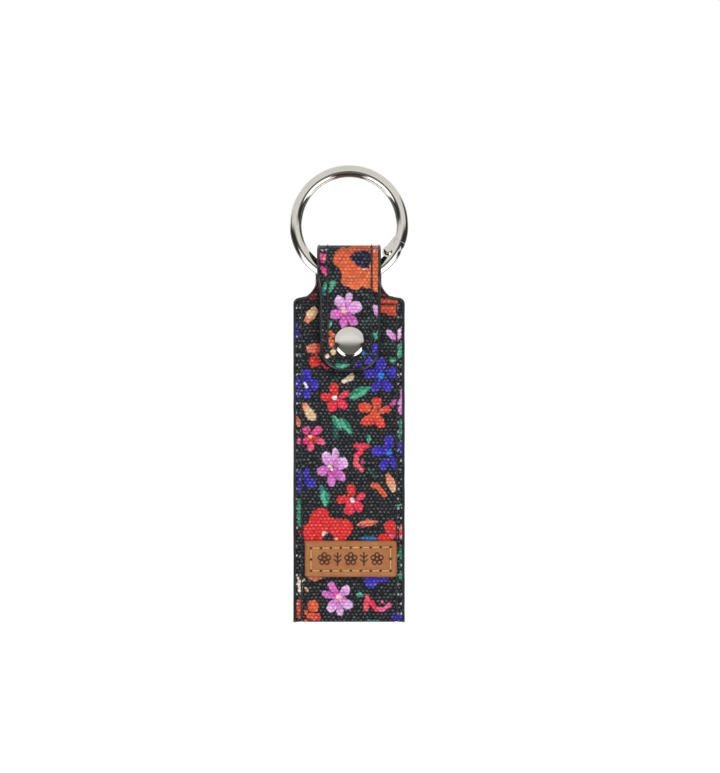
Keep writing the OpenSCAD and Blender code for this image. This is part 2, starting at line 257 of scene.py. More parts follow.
def weave_height(x, v):
    """Height of a plain weave, at most 0: rounded weft yarns that cross over and under the warp."""
    x, v = slub(x, v)
    row, column = np.floor(v / WEFT), np.floor(x / WARP)
    across, along = 2 * (v / WEFT - row) - 1, 2 * (x / WARP - column) - 1
    weft = YARN_RISE / 2 * np.cos(math.pi * (x / WARP - 0.5 + row))
    weft += WEFT_ROUND * yarn_top(across)
    warp = -YARN_RISE / 2 * np.cos(math.pi * (v / WEFT - 0.5 + column))
    warp += WARP_ROUND * yarn_top(along)
    return np.maximum(weft, warp) - YARN_RISE / 2


def seam_dip(x, v, lines):
    """How far the cloth is pulled in along the rows of stitches."""
    dip = np.zeros_like(x)
    for distance in lines:
        dip = np.maximum(dip, np.exp(-((distance(x, v) / SEAM_DIP_WIDTH) ** 2)))
    return -SEAM_DIP * dip


# ---- Distances


def to_segment(x, v, start, end):
    """Distance of each point from the straight line between start and end."""
    (x0, v0), (x1, v1) = start, end
    dx, dv = x1 - x0, v1 - v0
    u = np.clip(((x - x0) * dx + (v - v0) * dv) / (dx * dx + dv * dv), 0, 1)
    return np.hypot(x - x0 - u * dx, v - v0 - u * dv)


def to_path(x, v, points):
    """Distance of each point from the nearest of the straight lines through points."""
    return np.minimum.reduce([to_segment(x, v, a, b) for a, b in zip(points, points[1:])])


# ---- Meshes


def mesh_object(name, points, faces, material, smooth=True):
    """points in millimetres; faces as lists of point numbers."""
    mesh = bpy.data.meshes.new(name)
    mesh.from_pydata((np.asarray(points, float) * MM).tolist(), [], faces)
    work = bmesh.new()
    work.from_mesh(mesh)
    bmesh.ops.recalc_face_normals(work, faces=work.faces)
    work.to_mesh(mesh)
    work.free()
    mesh.polygons.foreach_set("use_smooth", [smooth] * len(mesh.polygons))
    mesh.materials.append(material)
    mesh.update()
    made = bpy.data.objects.new(name, mesh)
    bpy.context.scene.collection.objects.link(made)
    return made


def point_colours(made, name, colours):
    data = made.data.color_attributes.new(name, "FLOAT_COLOR", "POINT").data
    data.foreach_set("color", np.c_[colours, np.ones(len(colours))].astype(np.float32).ravel())


def point_vectors(made, name, x, v):
    data = made.data.attributes.new(name, "FLOAT_VECTOR", "POINT").data
    data.foreach_set("vector", np.c_[x, v, np.zeros(len(x))].astype(np.float32).ravel())


def point_numbers(made, name, values):
    data = made.data.attributes.new(name, "FLOAT", "POINT").data
    data.foreach_set("value", np.asarray(values, np.float32).ravel())


def grid_faces(rows, columns, first=0, flip=False):
    """Quads of a grid with that many points down and across."""
    start = (np.arange(rows - 1)[:, None] * columns + np.arange(columns - 1)).ravel() + first
    quads = np.stack([start, start + 1, start + columns + 1, start + columns], 1)
    return (quads[:, ::-1] if flip else quads).tolist()


def tube_faces(rings, sides, first=0):
    """Quads between the rings of a tube, and a face over each end."""
    faces = []
    for k in range(rings - 1):
        for m in range(sides):
            n, q = (m + 1) % sides, first + k * sides
            faces.append([q + m, q + n, q + sides + n, q + sides + m])
    faces.append([first + m for m in range(sides)][::-1])
    faces.append([first + (rings - 1) * sides + m for m in range(sides)])
    return faces


def canvas(name, rows, columns, lines, paint):
    """One layer of canvas as a closed piece: a finely woven face, and a plain back a layer below it."""
    left, right = edges(rows.s)
    left, right = left + CLOTH_INSET, right - CLOTH_INSET
    share = np.linspace(0, 1, columns + 1)
    x = left[:, None] + (right - left)[:, None] * share
    v = np.repeat(rows.v[:, None], columns + 1, 1)
    height = weave_height(x, v) + seam_dip(x, v, lines)

    def layer(depth):
        """The points at that depth from the strap's middle."""
        yz = [rows.centre[:, None, k] + rows.out[:, None, k] * depth for k in (0, 1)]
        return np.stack([x, *yz], -1)

    face = layer(HALF_T - CLOTH_SINK + height)
    back = layer(HALF_T - CANVAS_T + 0 * x)[::COARSE, ::COARSE]
    r, c = face.shape[:2]
    rb, cb = back.shape[:2]
    points = np.concatenate([face.reshape(-1, 3), back.reshape(-1, 3)])
    faces = grid_faces(r, c) + grid_faces(rb, cb, first=r * c, flip=True)
    fine, coarse = np.arange(r * c).reshape(r, c), np.arange(rb * cb).reshape(rb, cb) + r * c
    for side, near, other in (
        (fine[:, 0], coarse[:, 0], False),
        (fine[:, -1], coarse[:, -1], True),
        (fine[0], coarse[0], True),
        (fine[-1], coarse[-1], False),
    ):
        for k in range(len(near) - 1):
            along = side[COARSE * k : COARSE * (k + 1) + 1].tolist()
            ring = [*along, int(near[k + 1]), int(near[k])]
            faces.append(ring if other else ring[::-1])
    made = mesh_object(name, points, faces, CANVAS)
    back_x, back_v = x[::COARSE, ::COARSE].ravel(), v[::COARSE, ::COARSE].ravel()
    yarn_x, yarn_v = slub(x, v)
    point_vectors(made, "cloth", np.r_[yarn_x.ravel(), back_x], np.r_[yarn_v.ravel(), back_v])
    colours = paint(x.ravel(), v.ravel())
    point_colours(made, "print", np.r_[colours, np.tile(GROUND, (len(back_x), 1))])
    from_edge = np.minimum(x - left[:, None], right[:, None] - x).ravel()
    point_numbers(made, "from_edge", np.r_[from_edge, np.zeros(len(back_x))])
    return made


# ---- Print


def srgb(r, g, b):
    """A colour as the eye names it, 0 to 255, as the linear values that materials use."""
    c = np.array([r, g, b]) / 255
    return np.where(c <= 0.04045, c / 12.92, ((c + 0.055) / 1.055) ** 2.4)


GROUND = srgb(20, 24, 27)
RED = srgb(214, 44, 42)
CRIMSON = srgb(226, 48, 78)
CORAL = srgb(236, 84, 100)
OXBLOOD = srgb(130, 24, 34)
ORANGE = srgb(216, 88, 50)
APRICOT = srgb(228, 112, 66)
RUST = srgb(188, 70, 44)
SALMON = srgb(224, 124, 92)
PEACH = srgb(246, 190, 176)
PINK = srgb(228, 92, 140)
DUSK_PINK = srgb(160, 70, 104)
MAGENTA = srgb(206, 46, 124)
ROSE = srgb(202, 78, 172)
ORCHID = srgb(210, 126, 202)
LILAC = srgb(228, 190, 232)
BLUE = srgb(44, 30, 150)
BRIGHT_BLUE = srgb(64, 52, 186)
CYAN = srgb(26, 112, 204)
NAVY = srgb(24, 22, 46)
GREEN = srgb(38, 128, 100)
MINT = srgb(84, 172, 140)
DEEP_GREEN = srgb(26, 76, 68)
SPRIG = srgb(28, 58, 54)
TEAL = srgb(34, 100, 120)
TAN = srgb(228, 192, 148)
CREAM = srgb(232, 220, 194)
WHITE = srgb(232, 232, 240)
YELLOW = srgb(236, 200, 110)
SEAM_SHADE = srgb(12, 12, 15)


class Print:
    """Paint on cloth. Each motif is laid over what is there, with a slightly uneven brushed edge."""

    def __init__(self, x, v):
        wobble = 0.12
        self.x = x + wobble * (np.sin(2.3 * v + 0.7 * x) + 0.6 * np.sin(5.3 * v - 2.2 * x + 1))
        self.v = v + wobble * (np.sin(2.7 * x - 0.6 * v) + 0.6 * np.sin(5.9 * x + 1.7 * v + 2))
        self.wash = 0.5 + 0.25 * np.sin(1.3 * x + 0.9 * v) + 0.25 * np.sin(2.9 * x - 2.1 * v + 1)
        self.rgb = GROUND * (0.8 + 0.4 * self.wash[:, None])

    def along(self, x0, v0, x1, v1):
        """Coordinates along a line, 0 to 1 from end to end, and across it in millimetres."""
        length = math.hypot(x1 - x0, v1 - v0)
        dx, dv = (x1 - x0) / length, (v1 - v0) / length
        a = (self.x - x0) * dx + (self.v - v0) * dv
        return a / length, (self.v - v0) * dx - (self.x - x0) * dv

    def lay(self, inside, colour, soft=0.2):
        """Paint where inside, a distance from the motif's edge, is above 0."""
        amount = np.clip(inside / soft + 0.5, 0, 1)[:, None]
        tone = 1 + 0.2 * (self.wash[:, None] - 0.5)
        self.rgb = self.rgb * (1 - amount) + colour * tone * amount

    def petals(self, colour, tip, rows, gap=0.22):
        """Petals, narrow where they start and round at the tip: (start x, v, tip x, v, width)."""
        for x0, v0, x1, v1, width in rows:
            u, b = self.along(x0, v0, x1, v1)
            t = np.clip(u, 0, 1)
            half = width / 2 * PETAL_FULL * (0.10 + t) ** 0.42 * np.sqrt(np.maximum(0, 1 - t**3.4))
            inside = np.where((u > 0) & (u < 1), half - np.abs(b), -1)
            self.lay(inside + gap, GROUND)
            self.lay(inside, colour + (tip - colour) * (t**1.4)[:, None])

    def leaves(self, colour, shade, rows):
        """Leaves, pointed at both ends, with one half shaded: (start x, v, end x, v, width)."""
        for x0, v0, x1, v1, width in rows:
            u, b = self.along(x0, v0, x1, v1)
            t = np.clip(u, 0, 1)
            half = width / 2 * np.sin(math.pi * t**0.85) ** 0.8
            within = (u > 0) & (u < 1)
            self.lay(np.where(within, half - np.abs(b), -1), colour)
            self.lay(np.where(within & (b < 0), half * 0.7 - np.abs(b + 0.1 * width), -1), shade, 0.6)

    def dabs(self, colour, rows):
        """Oval dabs: (x, v, half width, half height)."""
        for x, v, half_x, half_v in rows:
            far = np.hypot((self.x - x) / half_x, (self.v - v) / half_v)
            self.lay((1 - far) * min(half_x, half_v), colour)

    def stroke(self, colour, width, points):
        """A brush stroke through points."""
        self.lay(width / 2 - to_path(self.x, self.v, points), colour)

    def shape(self, colour, tip, corners):
        """A closed shape with the given corners; its colour turns to tip towards the bottom."""
        outline = corners + corners[:1]
        nearest = to_path(self.x, self.v, outline)
        within = np.zeros(len(self.x), bool)
        for (x0, v0), (x1, v1) in zip(outline, outline[1:]):
            if v1 != v0:
                crosses = (self.v > v0) != (self.v > v1)
                within ^= crosses & (self.x < x0 + (x1 - x0) * (self.v - v0) / (v1 - v0))
        low, high = min(c[1] for c in corners), max(c[1] for c in corners)
        down = np.clip((high - self.v) / (high - low), 0, 1)[:, None]
        self.lay(np.where(within, nearest, -nearest) + 0.15, colour + (tip - colour) * down)

    def painted_glints(self, rows, seed):
        """Painted highlights: white specks where the cloth pulled in at the stitch holes catches light: (x,
        v) places.
        """
        random = np.random.default_rng(seed)
        for x, v in rows:
            bright, half_v = random.uniform(-0.3, 1), random.uniform(0.2, 0.42)
            if bright > 0:
                far = np.hypot((self.x - x - random.uniform(-0.12, 0.12)) / 0.26, (self.v - v) / half_v)
                self.lay((1 - far) * 0.26, WHITE * (0.25 + 0.75 * bright), 0.25)


def seam_glint_places(v_top, v_low, *x_places):
    """Places of the painted glints beside a row of stitches."""
    return [(x, v) for v in np.arange(v_top, v_low, -STITCH_PITCH) for x in x_places]


def paint_front(x, v):
    p = Print(x, v)
    p.stroke(SPRIG, 0.4, [(10.3, -30.4), (12.2, -31.0), (13.6, -32.0)])
    p.stroke(SPRIG, 0.9, [(10.6, -38.2), (14.6, -38.0)])
    p.stroke(SPRIG, 0.6, [(10.4, -39.3), (14.2, -39.4)])
    p.stroke(DEEP_GREEN, 0.5, [(-6.0, -50.4), (-4.6, -49.6), (-3.0, -49.0)])
    p.stroke(SPRIG, 0.4, [(5.4, -52.2), (6.9, -51.0)])
    p.stroke(DEEP_GREEN, 0.6, [(6.3, -77.6), (6.7, -78.8), (8.6, -80.7)])
    p.stroke(SPRIG, 0.6, [(12.0, -119.3), (13.5, -118.3), (15.3, -117.0)])
    p.stroke(SPRIG, 0.4, [(1.6, -126.6), (2.8, -125.8)])
    # Neck and shoulders
    p.shape(OXBLOOD, OXBLOOD, [(-10.7, -21.8), (-12.7, -23.4), (-11.8, -24.1), (-10.4, -23.6)])
    p.dabs(OXBLOOD, [(-9.9, -20.2, 0.5, 0.8), (11.2, -22.7, 0.9, 0.5)])
    p.petals(RUST, ORANGE, [(-4, -14, 3, -20, 7)])
    p.leaves(GREEN, MINT, [(3.5, -19, 8.5, -16, 2.4)])
    p.petals(SALMON, TAN, [(-13.7, -31.4, -10.6, -26.5, 3.0)])
    p.dabs(TAN, [(-12.5, -28.9, 1.2, 1.0)])
    p.shape(ORANGE, RUST, [
        (9.4, -24.0), (15.2, -24.0), (15.5, -25.6), (14.8, -29.5), (12.4, -28.7), (9.4, -27.6),
    ])
    p.stroke(BLUE, 0.7, [(-16.8, -31.3), (-16.7, -34.0)])
    p.dabs(BLUE, [(-16.5, -35.3, 0.9, 1.0)])
    p.petals(SALMON, RED, [(-13.6, -39.9, -8.6, -39.4, 3.3)])
    p.stroke(RUST, 0.9, [(-10.6, -41.0), (-10.4, -42.2)])
    p.dabs(RED, [(-10.9, -43.8, 1.8, 1.8)])
    p.stroke(CRIMSON, 0.7, [(-8.9, -44.5), (-6.8, -46.1)])
    p.petals(ORCHID, LILAC, [(15.1, -36.9, 12.0, -33.8, 1.9)])
    p.petals(LILAC, ORCHID, [(16.3, -33.2, 15.8, -36.9, 1.3)])
    p.leaves(GREEN, MINT, [(15.6, -40.2, 17.3, -37.3, 1.6), (12.8, -43.5, 15.6, -43.0, 1.5)])
    p.leaves(MINT, GREEN, [(15.3, -42.5, 17.3, -40.0, 2.0)])
    # Row of flowers below the flap
    p.petals(BLUE, BRIGHT_BLUE, [
        (-13.7, -50.4, -13.5, -46.3, 3.3), (-15.0, -51.0, -17.6, -50.4, 3.3),
        (-15.2, -52.3, -16.5, -55.2, 1.9), (-13.5, -52.3, -13.2, -55.6, 2.5),
        (-12.9, -51.4, -9.6, -51.0, 3.3),
    ], gap=0.1)
    p.stroke(WHITE, 0.8, [(-14.3, -50.8), (-13.5, -51.9)])
    p.petals(BLUE, BRIGHT_BLUE, [
        (9.9, -47.8, 10.3, -42.6, 3.4), (9.5, -48.0, 4.8, -47.5, 3.2), (11.9, -47.7, 15.3, -47.2, 3.6),
        (10.0, -49.9, 7.5, -53.4, 2.5), (10.9, -49.8, 13.3, -53.2, 3.1),
    ], gap=0.1)
    p.dabs(CYAN, [(10.2, -48.4, 1.0, 1.1)])
    p.petals(RED, RED, [(-4.6, -54.9, -4.9, -50.6, 2.9), (-4.8, -55.2, -9.2, -55.1, 2.6)])
    p.petals(CRIMSON, CRIMSON, [(-3.0, -55.3, 0.0, -53.6, 2.0), (-3.9, -56.0, -0.8, -58.6, 2.7)])
    p.petals(RED, CRIMSON, [(-5.1, -56.3, -5.6, -59.8, 3.2)])
    p.dabs(WHITE, [(-4.5, -55.4, 0.8, 0.75)])
    p.leaves(GREEN, MINT, [(0.0, -55.4, 6.6, -51.9, 3.1)])
    p.petals(CREAM, TAN, [(-2.2, -50.4, 1.7, -48.3, 1.8), (0.2, -49.2, 1.1, -47.5, 0.9)], gap=0)
    p.petals(ORANGE, RED, [
        (8.8, -59.0, 8.9, -55.3, 3.2), (7.2, -58.8, 3.0, -58.3, 3.2), (9.6, -59.7, 13.2, -58.8, 2.3),
    ])
    p.shape(ORANGE, RED, [
        (7.9, -58.9), (8.7, -58.9), (9.2, -60.6), (10.9, -62.4), (11.4, -64.3), (10.2, -64.9), (8.9, -64.3),
        (7.9, -63.4), (6.9, -63.9), (5.4, -64.2), (3.7, -63.4), (4.6, -61.9), (6.6, -60.7),
    ])
    p.stroke(ORCHID, 1.0, [(16.9, -52.8), (16.8, -55.4), (16.3, -57.0)])
    p.dabs(ORCHID, [(16.5, -57.0, 0.9, 0.9), (16.5, -59.4, 0.9, 1.5)])
    p.petals(MAGENTA, ORCHID, [(13.2, -57.7, 15.4, -56.4, 1.7)])
    # Second row
    p.petals(SALMON, TAN, [(-14.8, -57.1, -12.0, -61.0, 2.5)], gap=0)
    p.dabs(TAN, [(-12.7, -60.2, 1.3, 1.6), (-11.9, -61.4, 1.5, 1.3)])
    p.petals(ORANGE, SALMON, [(-17.2, -61.4, -15.7, -64.5, 1.9)])
    p.dabs(DEEP_GREEN, [(-4.2, -65.4, 1.0, 3.4)])
    p.leaves(MINT, GREEN, [(-5.2, -61.0, -2.6, -65.6, 1.9)])
    p.leaves(GREEN, MINT, [(-2.7, -61.9, 1.0, -67.0, 2.4)])
    p.petals(MAGENTA, PINK, [(-13.0, -67.2, -14.1, -64.6, 2.5), (-12.1, -67.2, -8.7, -64.9, 2.4)])
    p.petals(RED, PINK, [(-12.3, -67.9, -7.7, -70.0, 2.0), (-12.5, -68.2, -12.1, -72.7, 2.1)])
    p.petals(CRIMSON, MAGENTA, [(-12.9, -67.9, -14.4, -70.2, 1.9)])
    p.dabs(NAVY, [(-12.5, -66.9, 0.6, 0.35)])
    p.dabs(YELLOW, [(-12.5, -67.7, 0.7, 0.5)])
    p.dabs(PINK, [(-15.9, -69.3, 0.9, 1.0)])
    p.stroke(GREEN, 1.1, [(16.7, -62.6), (16.6, -66.0), (16.2, -68.0)])
    p.stroke(CRIMSON, 1.5, [(2.2, -70.7), (5.8, -70.8)])
    p.stroke(CRIMSON, 1.7, [(4.2, -71.3), (3.4, -73.0), (2.4, -74.0)])
    p.stroke(CORAL, 1.5, [(2.3, -74.6), (2.2, -76.6), (4.0, -78.3)])
    p.dabs(DUSK_PINK, [(4.3, -75.9, 0.7, 0.6)])
    p.leaves(MINT, GREEN, [(6.2, -67.2, 6.4, -69.8, 1.2)])
    p.petals(BLUE, BRIGHT_BLUE, [
        (12.5, -72.2, 12.9, -67.4, 3.2), (12.3, -72.6, 7.2, -72.4, 3.3), (12.6, -74.6, 10.2, -78.4, 2.6),
        (13.7, -73.8, 14.8, -78.0, 2.0), (16.6, -73.9, 16.4, -69.8, 1.6),
    ], gap=0.1)
    p.dabs(CYAN, [(12.7, -72.9, 1.0, 0.85)])
    # Third row
    p.petals(ORCHID, LILAC, [
        (-4.6, -76.2, -4.2, -71.5, 2.3), (-5.9, -77.2, -7.9, -72.8, 3.3), (-4.8, -77.4, -0.5, -75.6, 3.9),
    ], gap=0.14)
    p.petals(ROSE, ORCHID, [
        (-6.3, -78.2, -10.2, -79.2, 3.2), (-5.9, -79.0, -5.4, -83.8, 2.6), (-5.0, -78.2, -1.4, -81.7, 2.8),
    ], gap=0.14)
    p.dabs(CREAM, [(-6.2, -77.3, 0.8, 0.4), (-5.6, -78.1, 0.5, 0.7)])
    p.petals(BLUE, BRIGHT_BLUE, [(-14.2, -82.3, -10.7, -83.0, 3.1), (-13.4, -82.0, -13.6, -77.8, 1.8)], gap=0)
    p.stroke(BLUE, 1.2, [(-15.9, -78.8), (-15.8, -82.0), (-16.1, -85.4)])
    p.leaves(TEAL, GREEN, [(-8.8, -83.2, -7.9, -87.0, 1.8)])
    p.leaves(GREEN, MINT, [(-8.1, -84.9, -7.1, -90.0, 3.0)])
    p.petals(SALMON, TAN, [(12.2, -79.8, 14.6, -85.4, 2.6)])
    p.stroke(ORANGE, 1.6, [(7.8, -83.3), (9.4, -84.0), (11.2, -86.4)])
    p.petals(RED, RED, [(0.9, -87.2, 0.5, -83.0, 2.9), (0.5, -87.7, -4.0, -88.0, 2.7)])
    p.petals(CRIMSON, CRIMSON, [(2.4, -88.2, 4.9, -85.9, 2.0), (1.7, -88.6, 4.0, -91.6, 3.0)])
    p.petals(CRIMSON, RED, [(0.4, -88.9, -0.2, -92.8, 3.3)])
    p.dabs(WHITE, [(1.0, -88.1, 0.8, 0.75)])
    p.stroke(GREEN, 1.3, [(-15.8, -88.2), (-16.0, -92.0), (-15.7, -95.8)])
    p.stroke(MINT, 0.5, [(14.8, -89.9), (17.2, -89.5)])
    # Poppy behind the top of the patch
    p.shape(RED, RED, [
        (-14.4, -96.4), (-12.9, -95.5), (-12.2, -93.4), (-11.5, -91.9), (-10.0, -90.9), (-8.0, -90.8),
        (-6.9, -91.7), (-6.3, -93.6), (-4.9, -94.2), (-2.4, -94.2), (-0.1, -94.6), (1.0, -95.8),
        (1.1, -97.4), (0.2, -98.9), (-0.9, -100.1), (-2.6, -101.6), (-5, -103), (-13.6, -103), (-14.4, -99),
    ])
    p.dabs(CREAM, [(-7.6, -99.0, 1.1, 0.9), (-4.2, -100.6, 0.5, 0.4)])
    p.dabs(NAVY, [(-6.6, -100.2, 1.7, 1.6)])
    p.dabs(OXBLOOD, [(-15.3, -98.4, 0.7, 1.1)])
    p.leaves(SALMON, ORANGE, [(2.6, -95.9, 9.3, -94.9, 2.0)])
    p.dabs(DUSK_PINK, [(4.3, -96.3, 0.8, 0.5), (5.8, -94.1, 0.6, 0.3)])
    p.leaves(TEAL, CYAN, [(3.4, -100.1, 9.4, -100.2, 1.4)])
    p.petals(RED, RED, [(14.6, -100.4, 12.4, -94.6, 3.9), (13.6, -99.9, 9.2, -100.3, 2.7)])
    p.dabs(PINK, [(13.6, -99.5, 0.9, 0.6)])
    p.dabs(SALMON, [(16.8, -98.2, 0.7, 2.6)])
    p.dabs(CRIMSON, [(16.4, -98.6, 0.4, 1.2)])
    p.dabs(GREEN, [(16.6, -105.2, 0.8, 1.8), (16.6, -112.2, 0.8, 1.4)])
    p.dabs(DEEP_GREEN, [(16.4, -108.6, 0.6, 1.4)])
    # Below the patch
    p.dabs(SALMON, [(-10.8, -112.4, 2.3, 1.4)])
    p.petals(CREAM, CREAM, [(-15.6, -117.5, -15.7, -113.4, 1.6)], gap=0)
    p.stroke(CREAM, 0.5, [(-16.5, -112.9), (-15.7, -114.6), (-14.3, -113.5)])
    p.leaves(TAN, RUST, [(-14.1, -115.8, -13.1, -117.4, 0.9)])
    p.shape(BLUE, BRIGHT_BLUE, [
        (5.0, -112.0), (12.6, -112.0), (12.2, -113.9), (9.4, -114.3), (7.6, -115.8), (5.6, -115.6),
    ])
    p.petals(ROSE, ORCHID, [(-3.7, -118.4, -6.3, -114.3, 2.4), (-3.9, -119.0, -8.8, -117.8, 2.2)], gap=0.14)
    p.petals(ORCHID, LILAC, [
        (-3.9, -119.7, -6.4, -123.7, 3.1), (-3.2, -120.9, -2.6, -125.1, 2.2),
        (-2.8, -119.4, 0.8, -122.6, 3.1), (-2.8, -118.9, -0.1, -115.6, 2.8),
    ], gap=0.14)
    p.dabs(PEACH, [(-3.3, -119.1, 1.0, 0.8)])
    p.leaves(MINT, GREEN, [(2.2, -118.3, 4.8, -118.3, 1.4)])
    p.stroke(CORAL, 1.5, [(5.9, -119.1), (5.3, -122.7)])
    p.stroke(CRIMSON, 1.5, [(5.8, -120.9), (7.3, -120.9), (8.7, -122.9)])
    p.stroke(PINK, 1.3, [(9.6, -122.9), (11.2, -123.0), (12.9, -121.4)])
    p.dabs(PINK, [(10.6, -120.6, 0.5, 0.4)])
    p.dabs(BLUE, [(15.4, -125.3, 1.9, 1.4)])
    p.stroke(RUST, 1.8, [(-15.8, -120.6), (-15.8, -125.0)])
    p.dabs(ORANGE, [(-11.5, -121.9, 1.8, 1.9), (-13.6, -124.0, 0.7, 0.7), (-13.6, -126.8, 0.7, 0.7)])
    p.petals(ORANGE, RED, [(-13.6, -124.9, -9.0, -125.6, 2.5)])
    p.dabs(TEAL, [(7.7, -126.9, 2.4, 0.6)])
    # Painted highlights: white glints beside the stitch holes down both sides of the body
    for side, seed in ((-1, 1), (1, 2)):
        p.painted_glints(seam_glint_places(BODY_SEAM_TOP - 1.0, -126, side * 15.5 + 0.1, side * 16.7), seed)
    p.lay(0.20 - body_seam_distance(x, v), SEAM_SHADE)
    return p.rgb


def paint_flap(x, v):
    p = Print(x, v)
    p.stroke(SPRIG, 0.7, [(3.6, -21.6), (5.8, -22.7), (7.4, -24.2)])
    p.stroke(SPRIG, 1.3, [(4.8, -31.6), (7.0, -30.4), (9.6, -30.6)])
    # Poppy over the fold; the cloth above -13 goes round the ring and is seen foreshortened. It turns from
    # apricot below to rust at the top: painted shade where the cloth turns up over the ring
    p.shape(RUST, APRICOT, [
        (-4.8, -10.6), (-3.6, -8.2), (-1.8, -6.8), (-0.2, -7.4), (1.2, -5.0), (2.4, -3.2), (11, -2),
        (11, -20.5), (9.4, -21.7), (8.5, -21.5), (7.7, -20.5), (6.0, -20.3), (4.2, -19.7), (3.3, -20.2),
        (2.2, -20.9), (1.1, -20.6), (0.3, -19.9), (-0.8, -19.8), (-1.9, -19.0), (-2.4, -17.6),
        (-2.0, -15.6), (-2.7, -14.2), (-3.8, -13.3), (-4.7, -12.4),
    ])
    p.shape(NAVY, NAVY, [
        (0.3, -10.6), (2.2, -8.9), (4.4, -8.4), (6.3, -8.7), (6.9, -10.0), (6.7, -12.4), (6.4, -13.7),
        (5.4, -13.9), (3.4, -13.4), (1.5, -12.1),
    ])
    p.dabs(PEACH, [(6.8, -13.2, 0.3, 0.5), (5.0, -14.2, 0.5, 0.3)])
    p.shape(PINK, MAGENTA, [(-9.2, -9.3), (-7.3, -10.0), (-7.5, -11.6), (-8.6, -12.2), (-9.2, -11.2)])
    p.dabs(PEACH, [(-7.8, -11.2, 0.4, 0.4)])
    p.shape(MAGENTA, PINK, [(-9.2, -13.2), (-7.2, -13.9), (-6.7, -14.9), (-6.9, -16.1), (-8.6, -14.9)])
    p.leaves(GREEN, MINT, [(-8.3, -21.8, -6.8, -17.4, 1.6), (-6.4, -21.9, -4.6, -17.6, 1.5)])
    p.dabs(MINT, [(-5.2, -18.3, 1.0, 0.8)])
    p.dabs(TEAL, [(-8.1, -22.0, 0.7, 1.0)])
    # Lilac flower above the cap
    p.petals(ORCHID, LILAC, [
        (-0.4, -26.6, 0.2, -21.8, 2.2), (-1.9, -27.4, -3.6, -23.0, 3.3), (-0.6, -27.6, 3.9, -25.8, 3.9),
    ], gap=0.14)
    p.petals(ROSE, ORCHID, [
        (-2.1, -28.4, -6.0, -29.2, 3.2), (-1.8, -29.0, -1.7, -33.2, 2.5), (-0.9, -28.6, 2.4, -32.2, 2.8),
    ], gap=0.14)
    p.dabs(PEACH, [(-1.6, -27.7, 0.9, 1.0)])
    p.petals(ORCHID, LILAC, [(9.4, -29.4, 8.2, -25.8, 2.0)])
    p.leaves(MINT, GREEN, [(-5.9, -30.8, -6.0, -33.2, 0.9)])
    p.leaves(MINT, GREEN, [(7.2, -34.6, 9.2, -36.6, 1.2), (8.4, -36.7, 9.6, -33.7, 1.1)])
    p.petals(ORANGE, SALMON, [(-6.8, -34.3, -4.4, -35.9, 1.4), (-6.1, -36.2, -5.1, -39.2, 1.9)])
    p.dabs(TAN, [(-5.1, -40.9, 0.9, 1.0)])
    p.leaves(TAN, CREAM, [(-8.0, -42.8, -6.0, -41.4, 1.2)])
    p.leaves(GREEN, MINT, [(-4.6, -45.5, 0.3, -44.4, 2.4)])
    p.petals(BLUE, BRIGHT_BLUE, [(7.8, -41.8, 8.4, -38.0, 1.9)])
    p.dabs(BRIGHT_BLUE, [(6.3, -43.5, 1.3, 1.3)])
    p.dabs(BLUE, [(2.8, -44.6, 1.4, 0.9)])
    p.dabs(CYAN, [(4.7, -41.3, 0.5, 0.7)])
    # Painted highlights: white glints beside the stitches near the top of the flap
    p.dabs(WHITE, [
        (-8.4, -8.1, 0.3, 0.3), (-7.1, -8.1, 0.25, 0.4), (8.0, -8.4, 0.25, 0.5), (9.4, -8.4, 0.2, 0.4),
    ])
    # Painted highlights: white glints beside the flap's left row of stitches
    p.painted_glints(seam_glint_places(-24.8, -40, -8.6), 3)
    p.lay(0.30 - flap_seam_distance(x, v), SEAM_SHADE)
    return p.rgb


def paint_scattered(x, v):
    """The sides of the cloth that face away: the same motifs, in an even scatter."""
    p = Print(x, v)
    random = np.random.default_rng(11)
    kinds = [(RED, CRIMSON, WHITE), (BLUE, BRIGHT_BLUE, CYAN), (ORCHID, LILAC, YELLOW), (ORANGE, RED, RUST)]
    pitch, fifth = 7.6, 1.257  # between motifs, and a fifth of a turn
    for j, row_v in enumerate(np.arange(v.min() - 2, v.max() + pitch, pitch)):
        for i, row_x in enumerate(np.arange(-19, 20, pitch)):
            cx = row_x + (j % 2) * pitch / 2 + random.uniform(-0.9, 0.9)
            cv = row_v + random.uniform(-0.9, 0.9)
            turn = random.uniform(0, 2 * math.pi)
            spokes = [(math.cos(turn + k * fifth), math.sin(turn + k * fifth)) for k in range(5)]
            if (i + 2 * j) % 3 < 2:
                colour, tip, heart = kinds[random.integers(4)]
                reach = random.uniform(3.3, 4.2)
                rows = [
                    (cx + 0.8 * c, cv + 0.8 * s, cx + reach * c, cv + reach * s, 2.5) for c, s in spokes
                ]
                p.petals(colour, tip, rows)
                p.dabs(heart, [(cx, cv, 0.75, 0.75)])
            else:
                c, s = spokes[0]
                p.leaves(GREEN, MINT, [(cx - 2.7 * c, cv - 2.7 * s, cx + 2.7 * c, cv + 2.7 * s, 2.4)])
                p.petals(TAN, SALMON, [(cx + 2.4, cv - 1.2, cx + 3.4, cv - 4.2, 1.8)])
    return p.rgb


# ---- Materials


